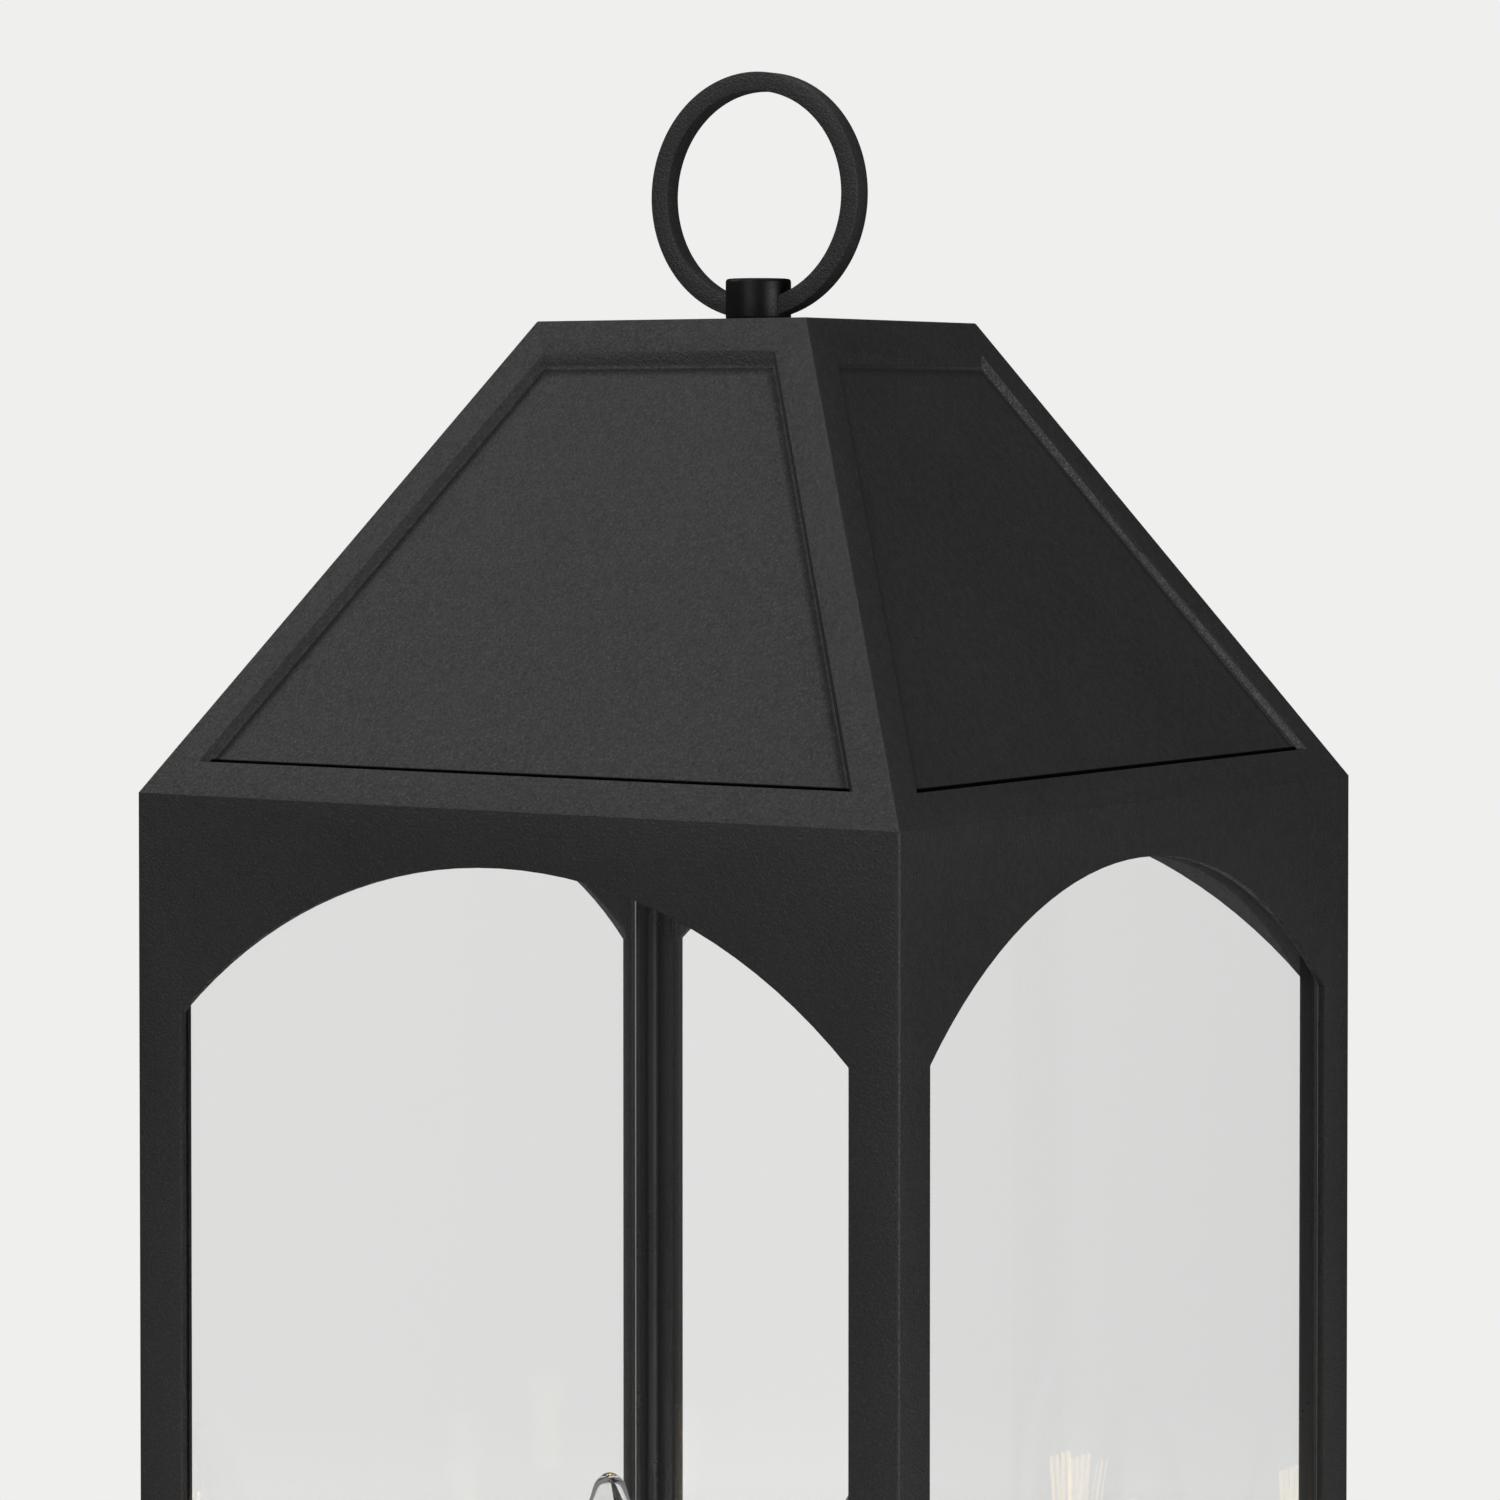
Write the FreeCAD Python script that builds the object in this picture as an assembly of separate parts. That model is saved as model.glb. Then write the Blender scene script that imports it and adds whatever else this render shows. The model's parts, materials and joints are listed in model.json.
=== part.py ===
import FreeCAD, Part
import math
import os

# A square lantern with an arched window in each side, a truncated pyramid roof
# with a sunk panel in each slope, a ring nut on top, and three candle lamps inside.
# All sizes are millimetres. +Z is up, the origin is on the ground under the centre,
# and the front is the side that faces -Y.

# ---- overall sizes ----
body_width = 254.0            # across the outer faces of the arched frames
eave_height = 396.0           # ground to the top edge of the frames
roof_height = 134.0           # eave to the flat top
roof_top_width = 92.0         # across the flat top

# ---- arched side frames ----
frame_thickness = 2.5
leg_width = 15.5              # each side of the window
arch_foot_drop = 61.5         # eave down to where the arch meets the legs
arch_crown_drop = 15.5        # eave down to the top of the arch
sill_height = 20.0            # solid rail under the window

corner_round = 0.8            # on the upright outside corners, the hips and the roof's rim

# ---- roof casting ----
roof_wall = 4.3               # square to the slope, at the borders
panel_depth = 2.25            # how far each panel is sunk, square to the slope
panel_border_foot = 9.3       # height of the border under the panel
panel_border_head = 9.2       # height of the border over the panel
panel_border_side = 12.1      # along the slope's level lines, hip to panel
roof_deck = 5.0               # thickness of the flat top
lip_depth = 4.5               # the lip that drops inside the frames
lip_width = 3.0
lip_clearance = 0.4

# ---- glass and what holds it ----
glass_thickness = 3.0
glass_gap = 0.3               # each side of the glass
strip_thickness = 1.3
strip_setback = 1.0           # strip edge behind the leg's edge
glass_pad_height = 1.0
glass_pad_length = 24.0
glass_pad_inset = 70.0        # pad centre from the middle of the pane

# ---- corner tie rods ----
rod_radius = 2.3
rod_wall_gap = 3.2            # between a rod and the frames' inner faces
rod_strip_gap = 0.3
rod_hole_clearance = 0.2
rod_nut_flats = 8.0
rod_nut_height = 3.5

# ---- top ring, cross bar and centre stud ----
top_ring_thickness = 3.0
top_ring_width = 16.0
top_ring_drop = 8.5           # eave down to the ring's upper face
cross_bar_width = 20.0
cross_bar_thickness = 3.0
cross_bar_end_gap = 6.5       # bar's end to the frames' inner faces
bar_screw_radius = 1.5
bar_screw_head_radius = 3.0
bar_screw_head_height = 1.8
bar_screw_pitch = 10.0
stud_radius = 3.0
stud_nut_flats = 10.0
stud_nut_height = 4.4
stud_hole_clearance = 0.6     # in the roof's flat top

# ---- ring nut ----
ring_outer_radius = 35.75
ring_band = 5.6               # ring section, across its face
ring_depth = 6.0              # ring section, along its axis
ring_edge_round = 0.5
ring_lift = 0.9               # flat top to the lowest point of the ring
boss_radius = 9.5
boss_height = 12.0
boss_edge_round = 1.1
boss_core_radius = 6.2        # the ring's ends stop here
washer_thickness = 0.6
washer_setback = 1.2          # washer edge in from the boss edge
thread_clearance = 0.05       # ring nut on its stud
nut_roof_clearance = 0.9      # stud's end to the blind end of the nut

# ---- base casting ----
base_height = 36.0
base_floor = 4.5
base_wall = 4.0
foot_band_height = 13.0       # upright band over the gasket
foot_ledge = 8.5              # how far the foot stands out past the neck
neck_height = 9.0             # upright band under the frames
neck_ledge = 2.5              # how far the neck stands out past the frames
base_edge_round = 1.0
gasket_thickness = 2.0
gasket_inset = 0.5

# ---- plate that screws to the pier ----
plate_thickness = 3.0
plate_half = 108.0
plate_corner_cut = 16.0
plate_hole_radius = 34.0
anchor_spacing = 178.0
anchor_hole_radius = 3.2
ear_width = 24.0
ear_thickness = 3.0
ear_height = 13.0
ear_gap = 0.5                 # ear to the inside of the base
side_screw_radius = 2.4
side_screw_head_radius = 4.6
side_screw_head_height = 3.0
side_screw_height = 8.5
side_screw_clearance = 0.3

# ---- lamp cluster ----
lamp_count = 3
lamp_circle_radius = 45.5
lamp_first_angle = 194.5      # degrees from +X
hub_radius = 17.0
hub_height = 15.0
hub_crown_radius = 9.0
hub_crown_height = 6.0
nipple_radius = 4.9
nipple_bore_radius = 3.2
nipple_drop = 11.0            # below the underside of the floor
nipple_clearance = 0.2
nipple_nut_flats = 15.0
nipple_nut_height = 4.0
knob_radius = 8.6
knob_height = 13.0
knob_wall = 3.0               # over the end of the nipple
bushing_collar_radius = 6.6
bushing_collar_height = 2.2
bushing_wall = 0.8
bushing_length = 7.0
ground_screw_radius = 2.0
ground_screw_head_radius = 4.2
ground_screw_head_height = 2.2
ground_screw_length = 8.0
ground_screw_place = 34.0     # from the middle, towards the back
ground_boss_radius = 5.5
ground_boss_height = 5.0
arm_radius = 4.2
arm_axis_height = 8.5         # above the floor
arm_seat = 4.0                # how deep an arm sits in the hub
cup_radius = 13.6
cup_foot_radius = 8.0
cup_floor_height = 14.0       # above the base's top
cup_rim_height = 21.0
sleeve_radius = 11.0
sleeve_wall = 1.0
sleeve_height = 62.0
sleeve_clearance = 0.15
stem_radius = 3.9
stem_wall = 0.9
stem_height = 39.6            # above the cup's floor
socket_radius = 9.5
socket_height = 25.0
socket_grip = 5.0             # how far the stem goes into the socket
shell_wall = 0.7
shell_setback = 1.0           # shell's rim below the socket's mouth
socket_floor = 2.0
contact_tab_radius = 3.0
contact_tab_thickness = 0.8

# ---- lamps ----
bulb_base_radius = 5.9
bulb_base_wall = 0.5
bulb_base_length = 14.5
bulb_insulator_height = 4.0
bulb_thread_clearance = 0.1   # screw shell in the socket's shell
bulb_contact_clearance = 0.3
bulb_neck_step = 0.4          # glass neck wider than the screw shell
bulb_glass_length = 81.0
bulb_glass_radius = 17.0
bulb_glass_wall = 0.9
bulb_tip_cap = 9.0            # length of the blunt tip
bulb_tip_radius = 6.7         # radius at the foot of the blunt tip
filament_count = 4
filament_radius = 0.75
filament_length = 34.0
filament_foot_radius = 3.2
filament_head_radius = 5.6
filament_wire_radius = 0.3
filament_rise = 5.0           # bottom of the glass to the foot of the filaments

# ---- places that follow from the sizes ----
body_half = body_width / 2
inner_half = body_half - frame_thickness
roof_top_half = roof_top_width / 2
roof_top_z = eave_height + roof_height
slope_run = body_half - roof_top_half
slope_cos = slope_run / math.hypot(slope_run, roof_height)
wall_drop = roof_wall / slope_cos
panel_drop = panel_depth / slope_cos
rod_inset = frame_thickness + rod_wall_gap + rod_radius
rod_place = body_half - rod_inset
strip_start = rod_inset + rod_radius + rod_strip_gap
glass_outer = inner_half - glass_gap
glass_inner = glass_outer - glass_thickness
strip_face = glass_inner - glass_gap
glass_half = body_half - strip_start - strip_thickness - glass_gap
top_ring_top = eave_height - top_ring_drop
top_ring_foot = top_ring_top - top_ring_thickness
glass_top = top_ring_foot - glass_gap
bar_top = top_ring_top + cross_bar_thickness
bar_half = inner_half - cross_bar_end_gap
neck_half = body_half + neck_ledge
floor_foot = base_height - base_floor
foot_half = neck_half + foot_ledge
foot_band_top = gasket_thickness + foot_band_height
neck_top = base_height - neck_height
foot_inner = foot_half - base_wall
neck_inner = neck_half - base_wall
boss_foot = roof_top_z + washer_thickness
stud_top = boss_foot + boss_height - boss_edge_round - 2 * nut_roof_clearance
ring_centre_z = roof_top_z + ring_lift + ring_outer_radius
cup_floor = base_height + cup_floor_height
cup_rim = base_height + cup_rim_height
sleeve_top = cup_floor + sleeve_height
stem_top = cup_floor + stem_height
socket_foot = stem_top - socket_grip
socket_top = socket_foot + socket_height
socket_well = stem_top + socket_floor
shell_bore_radius = bulb_base_radius + bulb_thread_clearance
socket_bore_radius = shell_bore_radius + shell_wall
bulb_contact_z = socket_well + contact_tab_thickness + bulb_contact_clearance
bulb_shell_foot = bulb_contact_z + bulb_insulator_height
bulb_neck_radius = bulb_base_radius + bulb_neck_step
bulb_glass_foot = bulb_shell_foot + bulb_base_length
bulb_tip_z = bulb_glass_foot + bulb_glass_length

SIDES = {"front": 0, "right": 90, "back": 180, "left": 270}
UP = FreeCAD.Vector(0, 0, 1)


def vec(x, y, z):
    return FreeCAD.Vector(x, y, z)


def block(low, high):
    """A box from its lowest to its highest corner."""
    size = [b - a for a, b in zip(low, high)]
    return Part.makeBox(size[0], size[1], size[2], vec(*low))


def square_block(half, low_z, high_z):
    return block((-half, -half, low_z), (half, half, high_z))


def square_wire(half, z):
    corners = [(-half, -half), (half, -half), (half, half), (-half, half), (-half, -half)]
    return Part.makePolygon([vec(x, y, z) for x, y in corners])


def square_taper(low_half, low_z, high_half, high_z):
    return Part.makeLoft([square_wire(low_half, low_z), square_wire(high_half, high_z)], True, True)


def rod(radius, low_z, high_z, x=0.0, y=0.0):
    return Part.makeCylinder(radius, high_z - low_z, vec(x, y, low_z), UP)


def tube(outer, inner, low_z, high_z, x=0.0, y=0.0):
    return rod(outer, low_z, high_z, x, y).cut(rod(inner, low_z - 1, high_z + 1, x, y))


def hex_nut(flats, bore, low_z, high_z, x=0.0, y=0.0):
    reach = flats / math.sqrt(3)
    points = []
    for k in range(7):
        angle = math.radians(60 * k)
        points.append(vec(x + reach * math.cos(angle), y + reach * math.sin(angle), low_z))
    body = Part.Face(Part.makePolygon(points)).extrude(vec(0, 0, high_z - low_z))
    return body.cut(rod(bore, low_z - 1, high_z + 1, x, y))


def prism(points, direction):
    """A solid swept from a closed flat outline along a direction."""
    wire = Part.makePolygon([vec(*p) for p in points + [points[0]]])
    return Part.Face(wire).extrude(vec(*direction))


def turned(shape, angle):
    """The shape turned about the lantern's upright axis."""
    moved = shape.copy()
    moved.rotate(vec(0, 0, 0), UP, angle)
    return moved


def four_corners(place):
    return [(sx * place, sy * place) for sx in (-1, 1) for sy in (-1, 1)]


def rounded(shape, radius, keep):
    """The shape with a radius on each edge that keep() picks."""
    edges = [e for e in shape.Edges if keep(e)]
    return shape.makeFillet(radius, edges)


def lamp_places():
    step = 360.0 / lamp_count
    found = []
    for k in range(lamp_count):
        angle = math.radians(lamp_first_angle + k * step)
        x = lamp_circle_radius * math.cos(angle)
        y = lamp_circle_radius * math.sin(angle)
        found.append((k + 1, math.degrees(angle), x, y))
    return found


# ---- frames, glass and strips ----
def arch_tool():
    """The window's outline, cut through the front frame."""
    half = body_half - leg_width
    foot_z = eave_height - arch_foot_drop
    crown_z = eave_height - arch_crown_drop
    sill_z = base_height + sill_height
    y = -body_half - 1
    arc = Part.Arc(vec(-half, y, foot_z), vec(0, y, crown_z), vec(half, y, foot_z))
    lines = [
        Part.makeLine(vec(half, y, foot_z), vec(half, y, sill_z)),
        Part.makeLine(vec(half, y, sill_z), vec(-half, y, sill_z)),
        Part.makeLine(vec(-half, y, sill_z), vec(-half, y, foot_z)),
    ]
    wire = Part.Wire([arc.toShape()] + lines)
    return Part.Face(wire).extrude(vec(0, frame_thickness + 2, 0))


def arch_frame():
    """The front frame: a flat arched plate, mitred at both upright edges."""
    plan = [
        (-body_half, -body_half, base_height),
        (body_half, -body_half, base_height),
        (inner_half, -inner_half, base_height),
        (-inner_half, -inner_half, base_height),
    ]
    plate = prism(plan, (0, 0, eave_height - base_height))
    post = square_block(body_half, base_height, eave_height)
    post = rounded(post, corner_round, lambda e: abs(e.Vertexes[0].Z - e.Vertexes[1].Z) > 1)
    return plate.common(post).cut(arch_tool())


def glass_pane():
    low_z = base_height + glass_pad_height
    return block((-glass_half, -glass_outer, low_z), (glass_half, -glass_inner, glass_top))


def glass_strips():
    """Two upright angles that hold the front glass against its frame."""
    root_far = body_half - strip_start
    root_near = root_far - strip_thickness
    reach = body_half - leg_width + strip_setback
    solids = []
    for sign in (-1, 1):
        plan = [
            (sign * root_far, -inner_half, base_height),
            (sign * root_near, -inner_half, base_height),
            (sign * root_near, -strip_face, base_height),
            (sign * reach, -strip_face, base_height),
            (sign * reach, -strip_face + strip_thickness, base_height),
            (sign * root_far, -strip_face + strip_thickness, base_height),
        ]
        solids.append(prism(plan, (0, 0, glass_top - base_height)))
    return solids


def glass_pads():
    solids = []
    for angle in SIDES.values():
        for sign in (-1, 1):
            x = sign * glass_pad_inset
            low = (x - glass_pad_length / 2, -glass_outer, base_height)
            high = (x + glass_pad_length / 2, -glass_inner, base_height + glass_pad_height)
            solids.append(turned(block(low, high), angle))
    return solids


# ---- rods, top ring, bar and stud ----
def corner_rods():
    low_z = floor_foot - rod_nut_height - 1
    high_z = top_ring_top + rod_nut_height
    return [rod(rod_radius, low_z, high_z, x, y) for x, y in four_corners(rod_place)]


def rod_nuts(low_z):
    high_z = low_z + rod_nut_height
    return [hex_nut(rod_nut_flats, rod_radius, low_z, high_z, x, y) for x, y in four_corners(rod_place)]


def bar_screw_places():
    x = (bar_half + inner_half - top_ring_width) / 2
    return [(sx * x, sy * bar_screw_pitch / 2) for sx in (-1, 1) for sy in (-1, 1)]


def top_ring():
    ring = square_block(inner_half, top_ring_foot, top_ring_top)
    ring = ring.cut(square_block(inner_half - top_ring_width, top_ring_foot - 1, top_ring_top + 1))
    for x, y in four_corners(rod_place):
        ring = ring.cut(rod(rod_radius + rod_hole_clearance, top_ring_foot - 1, top_ring_top + 1, x, y))
    for x, y in bar_screw_places():
        ring = ring.cut(rod(bar_screw_radius, top_ring_foot - 1, top_ring_top + 1, x, y))
    return ring


def cross_bar():
    low = (-bar_half, -cross_bar_width / 2, top_ring_top)
    bar = block(low, (bar_half, cross_bar_width / 2, bar_top))
    bar = bar.cut(rod(stud_radius, top_ring_top - 1, bar_top + 1))
    for x, y in bar_screw_places():
        bar = bar.cut(rod(bar_screw_radius, top_ring_top - 1, bar_top + 1, x, y))
    return bar


def cross_bar_screws():
    solids = []
    for x, y in bar_screw_places():
        shank = rod(bar_screw_radius, top_ring_foot, bar_top, x, y)
        head = rod(bar_screw_head_radius, bar_top, bar_top + bar_screw_head_height, x, y)
        solids.append(shank.fuse(head).removeSplitter())
    return solids


def stud_nuts():
    under = hex_nut(stud_nut_flats, stud_radius, top_ring_top - stud_nut_height, top_ring_top)
    over = hex_nut(stud_nut_flats, stud_radius, bar_top, bar_top + stud_nut_height)
    return [under, over]


# ---- roof ----
def roof_half_at(z):
    """Half width of the roof's outside at a height above the eave."""
    return body_half - slope_run * z / roof_height


def panel_tool():
    """What is cut from the front slope to sink its panel; its walls are upright."""
    foot = panel_border_foot
    head = roof_height - panel_border_head
    outline = []
    for z, sign in ((foot, -1), (foot, 1), (head, 1), (head, -1)):
        half = roof_half_at(z)
        outline.append((sign * (half - panel_border_side), -half, eave_height + z - panel_drop))
    return prism(outline, (0, 0, 3 * panel_drop))


def roof_shell():
    outside = square_taper(body_half, eave_height, roof_top_half, roof_top_z)
    on_rim = lambda z: abs(z - roof_top_z) < 0.01
    outside = rounded(outside, corner_round, lambda e: any(on_rim(v.Z) for v in e.Vertexes))
    deck_z = roof_top_z - roof_deck
    inside_half = roof_half_at(roof_height - roof_deck + wall_drop)
    foot_half_inside = roof_half_at(wall_drop)
    inside = square_taper(foot_half_inside, eave_height, inside_half, deck_z)
    lip_outer = inner_half - lip_clearance
    lip_foot = eave_height - lip_depth
    lip = square_block(lip_outer, lip_foot, eave_height + wall_drop / 4)
    lip_inner = min(lip_outer - lip_width, foot_half_inside)
    shell = outside.fuse(lip.common(square_block(lip_outer, lip_foot, eave_height))).removeSplitter()
    shell = shell.cut(inside)
    shell = shell.cut(square_block(lip_inner, lip_foot - 1, eave_height + 0.01))
    for angle in SIDES.values():
        shell = shell.cut(turned(panel_tool(), angle))
    return shell.cut(rod(stud_radius + stud_hole_clearance, deck_z - 1, roof_top_z + 1))


# ---- ring nut ----
def ring_band_solid(round_edges):
    """The full ring, standing in the plane of the front face."""
    start = vec(0, -ring_depth / 2, ring_centre_z)
    along = vec(0, 1, 0)
    outer = Part.makeCylinder(ring_outer_radius, ring_depth, start, along)
    inner = Part.makeCylinder(ring_outer_radius - ring_band, ring_depth, start, along)
    band = outer.cut(inner)
    if not round_edges:
        return band
    return rounded(band, ring_edge_round, lambda e: len(e.Vertexes) == 1)


def boss_core():
    return rod(boss_core_radius, boss_foot - 1, boss_foot + boss_height + 1)


def ring_loop():
    return ring_band_solid(True).cut(boss_core())


def ring_boss():
    top = boss_foot + boss_height
    boss = rod(boss_radius, boss_foot, top)
    boss = rounded(boss, boss_edge_round, lambda e: e.Vertexes[0].Z > top - 0.01 and len(e.Vertexes) == 1)
    boss = boss.cut(ring_band_solid(True).cut(boss_core()))
    return boss.cut(rod(stud_radius + thread_clearance, boss_foot - 1, stud_top + nut_roof_clearance))


# ---- base ----
def side_screw_line(radius, from_half, to_half):
    """A rod that runs inwards through the front of the base."""
    start = vec(0, -from_half, side_screw_height)
    return Part.makeCylinder(radius, from_half - to_half, start, vec(0, 1, 0))


def base_casting():
    outside = square_block(foot_half, gasket_thickness, foot_band_top)
    outside = outside.fuse(square_taper(foot_half, foot_band_top, neck_half, neck_top))
    outside = outside.fuse(square_block(neck_half, neck_top, base_height)).removeSplitter()
    slope_shift = base_wall / 4
    inside = square_block(foot_inner, gasket_thickness, foot_band_top - slope_shift)
    inside = inside.fuse(square_taper(foot_inner, foot_band_top - slope_shift, neck_inner, neck_top - slope_shift))
    inside = inside.fuse(square_block(neck_inner, neck_top - slope_shift, floor_foot))

    def outer_corner(edge):
        return len(edge.Vertexes) == 2 and all(
            abs(abs(v.X) - abs(v.Y)) < 0.01 and v.Z > gasket_thickness - 1 for v in edge.Vertexes
        ) and abs(edge.Vertexes[0].Z - edge.Vertexes[1].Z) > 0.01

    outside = rounded(outside, base_edge_round, outer_corner)
    base = outside.cut(inside).fuse(ground_boss()).removeSplitter()
    screw_low = floor_foot - ground_boss_height
    base = base.cut(rod(ground_screw_radius, screw_low - 1, screw_low + ground_screw_length, 0, ground_screw_place))
    for x, y in four_corners(rod_place):
        base = base.cut(rod(rod_radius + rod_hole_clearance, floor_foot - 1, base_height + 1, x, y))
    base = base.cut(rod(nipple_radius + nipple_clearance, floor_foot - 1, base_height + 1))
    for angle in SIDES.values():
        hole = side_screw_line(side_screw_radius + side_screw_clearance, foot_half + 1, foot_inner - 1)
        base = base.cut(turned(hole, angle))
    return base


def base_gasket():
    outer = foot_half - gasket_inset
    inner = foot_inner + gasket_inset
    ring = square_block(outer, 0, gasket_thickness)
    return ring.cut(square_block(inner, -1, gasket_thickness + 1))


def mounting_plate():
    near = plate_half - plate_corner_cut
    outline = [
        (-plate_half, -near), (-near, -plate_half), (near, -plate_half), (plate_half, -near),
        (plate_half, near), (near, plate_half), (-near, plate_half), (-plate_half, near),
    ]
    plate = prism([(x, y, 0) for x, y in outline], (0, 0, plate_thickness))
    reach = foot_inner - ear_gap
    for angle in SIDES.values():
        tongue = block((-ear_width / 2, -reach, 0), (ear_width / 2, -near, plate_thickness))
        ear = block((-ear_width / 2, -reach, 0), (ear_width / 2, -reach + ear_thickness, ear_height))
        plate = plate.fuse(turned(tongue.fuse(ear), angle))
    plate = plate.removeSplitter().cut(rod(plate_hole_radius, -1, plate_thickness + 1))
    for x, y in four_corners(anchor_spacing / 2):
        plate = plate.cut(rod(anchor_hole_radius, -1, plate_thickness + 1, x, y))
    for angle in SIDES.values():
        hole = side_screw_line(side_screw_radius, foot_inner, reach - ear_thickness - 1)
        plate = plate.cut(turned(hole, angle))
    return plate


def side_screws():
    solids = []
    tip = foot_inner - ear_gap - ear_thickness - 1
    for angle in SIDES.values():
        shank = side_screw_line(side_screw_radius, foot_half, tip)
        head = side_screw_line(side_screw_head_radius, foot_half + side_screw_head_height, foot_half)
        screw = shank.fuse(head).removeSplitter()
        slot_low = (-side_screw_head_radius, -foot_half - side_screw_head_height - 1, side_screw_height - 0.6)
        slot_high = (side_screw_head_radius, -foot_half - side_screw_head_height + 1.2, side_screw_height + 0.6)
        solids.append(turned(screw.cut(block(slot_low, slot_high)), angle))
    return solids


# ---- lamp cluster ----
def radial(radius, near, far, z, angle):
    """A rod that runs outwards from the lantern's axis."""
    a = math.radians(angle)
    start = vec(near * math.cos(a), near * math.sin(a), z)
    return Part.makeCylinder(radius, far - near, start, vec(math.cos(a), math.sin(a), 0))


def arm_line(angle):
    z = base_height + arm_axis_height
    return radial(arm_radius, hub_radius - arm_seat, lamp_circle_radius, z, angle)


def cup_solid(x, y):
    """A turned cup that a candle sleeve stands in."""
    foot_z = base_height + arm_axis_height - arm_radius - 1
    outline = [
        (0, foot_z), (cup_foot_radius, foot_z), (cup_foot_radius, cup_floor - 6),
        (cup_radius, cup_floor - 1), (cup_radius, cup_rim), (0, cup_rim), (0, foot_z),
    ]
    wire = Part.makePolygon([vec(x + r, y, z) for r, z in outline])
    return Part.Face(wire).revolve(vec(x, y, 0), UP, 360)


def candle_cup(x, y):
    cup = cup_solid(x, y).cut(rod(sleeve_radius + sleeve_clearance, cup_floor, cup_rim + 1, x, y))
    return cup.cut(rod(stem_radius, base_height, cup_floor + 1, x, y))


def cluster_hub():
    hub = rod(hub_radius, base_height, base_height + hub_height)
    crown = Part.makeCone(hub_radius, hub_crown_radius, hub_crown_height, vec(0, 0, base_height + hub_height), UP)
    hub = hub.fuse(crown).removeSplitter()
    for _, angle, _, _ in lamp_places():
        hub = hub.cut(arm_line(angle))
    return hub.cut(rod(nipple_radius + nipple_clearance, base_height - 1, base_height + 60))


def cluster_arms():
    solids = []
    for _, angle, x, y in lamp_places():
        solids.append(arm_line(angle).cut(cup_solid(x, y)))
    return solids


def nipple_nut():
    return hex_nut(nipple_nut_flats, nipple_radius, floor_foot - nipple_nut_height, floor_foot)


def hub_knob():
    """A turned knob that clamps the hub down on the nipple."""
    foot = base_height + hub_height + hub_crown_height
    curve = Part.BSplineCurve()
    points = [(knob_radius * 0.8, 0), (knob_radius, 0.28), (knob_radius * 0.72, 0.72), (0, 1.0)]
    curve.interpolate([vec(r, 0, foot + share * knob_height) for r, share in points])
    edges = [
        curve.toShape(),
        Part.makeLine(vec(0, 0, foot + knob_height), vec(0, 0, foot)),
        Part.makeLine(vec(0, 0, foot), vec(knob_radius * 0.8, 0, foot)),
    ]
    body = Part.Face(Part.Wire(Part.__sortEdges__(edges))).revolve(vec(0, 0, 0), UP, 360)
    return body.cut(rod(nipple_radius, foot - 1, foot + knob_height - knob_wall))


def nipple():
    top = base_height + hub_height + hub_crown_height + knob_height - knob_wall - 1
    return tube(nipple_radius, nipple_bore_radius, floor_foot - nipple_drop, top)


def wire_bushing():
    """A plastic bushing in the foot of the nipple."""
    mouth = floor_foot - nipple_drop
    bore = nipple_bore_radius - bushing_wall
    sleeve = rod(nipple_bore_radius, mouth, mouth + bushing_length)
    collar = rod(bushing_collar_radius, mouth - bushing_collar_height, mouth)
    body = sleeve.fuse(collar).removeSplitter()
    return body.cut(rod(bore, mouth - bushing_collar_height - 1, mouth + bushing_length + 1))


def ground_boss():
    return rod(ground_boss_radius, floor_foot - ground_boss_height, floor_foot, 0, ground_screw_place)


def ground_screw():
    face = floor_foot - ground_boss_height
    shank = rod(ground_screw_radius, face, face + ground_screw_length, 0, ground_screw_place)
    head = hex_nut(ground_screw_head_radius * 2, 0.5, face - ground_screw_head_height, face, 0, ground_screw_place)
    head = head.fuse(rod(0.6, face - ground_screw_head_height + 1, face, 0, ground_screw_place))
    return shank.fuse(head).removeSplitter()


def socket_stem(x, y):
    return tube(stem_radius, stem_radius - stem_wall, cup_floor - 6, stem_top, x, y)


def candle_sleeve(x, y):
    return tube(sleeve_radius, sleeve_radius - sleeve_wall, cup_floor, sleeve_top, x, y)


def lamp_socket(x, y):
    body = rod(socket_radius, socket_foot, socket_top, x, y)
    body = body.cut(rod(stem_radius, socket_foot - 1, stem_top, x, y))
    return body.cut(rod(socket_bore_radius, socket_well, socket_top + 1, x, y))


def socket_shell(x, y):
    return tube(socket_bore_radius, shell_bore_radius, socket_well, socket_top - shell_setback, x, y)


def socket_contact(x, y):
    return rod(contact_tab_radius, socket_well, socket_well + contact_tab_thickness, x, y)


# ---- lamps ----
def glass_outline(inset, foot_z):
    """Radius and height of the torpedo glass from its neck to its tip."""
    length = bulb_glass_length
    neck = bulb_neck_radius
    shape = [
        (neck, 0.0),
        (0.72 * bulb_glass_radius, 0.12 * length),
        (bulb_glass_radius, 0.36 * length),
        (0.80 * bulb_glass_radius, 0.66 * length),
        (bulb_tip_radius, length - bulb_tip_cap),
        (0.0, length),
    ]
    points = [vec(max(r - inset, 0.0), 0, bulb_glass_foot + z) for r, z in shape]
    points[0] = vec(neck - inset, 0, foot_z)
    points[-1] = vec(0, 0, bulb_tip_z - inset)
    curve = Part.BSplineCurve()
    curve.interpolate(points, InitialTangent=vec(0.3, 0, 1), FinalTangent=vec(-1, 0, 0))
    return curve


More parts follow.
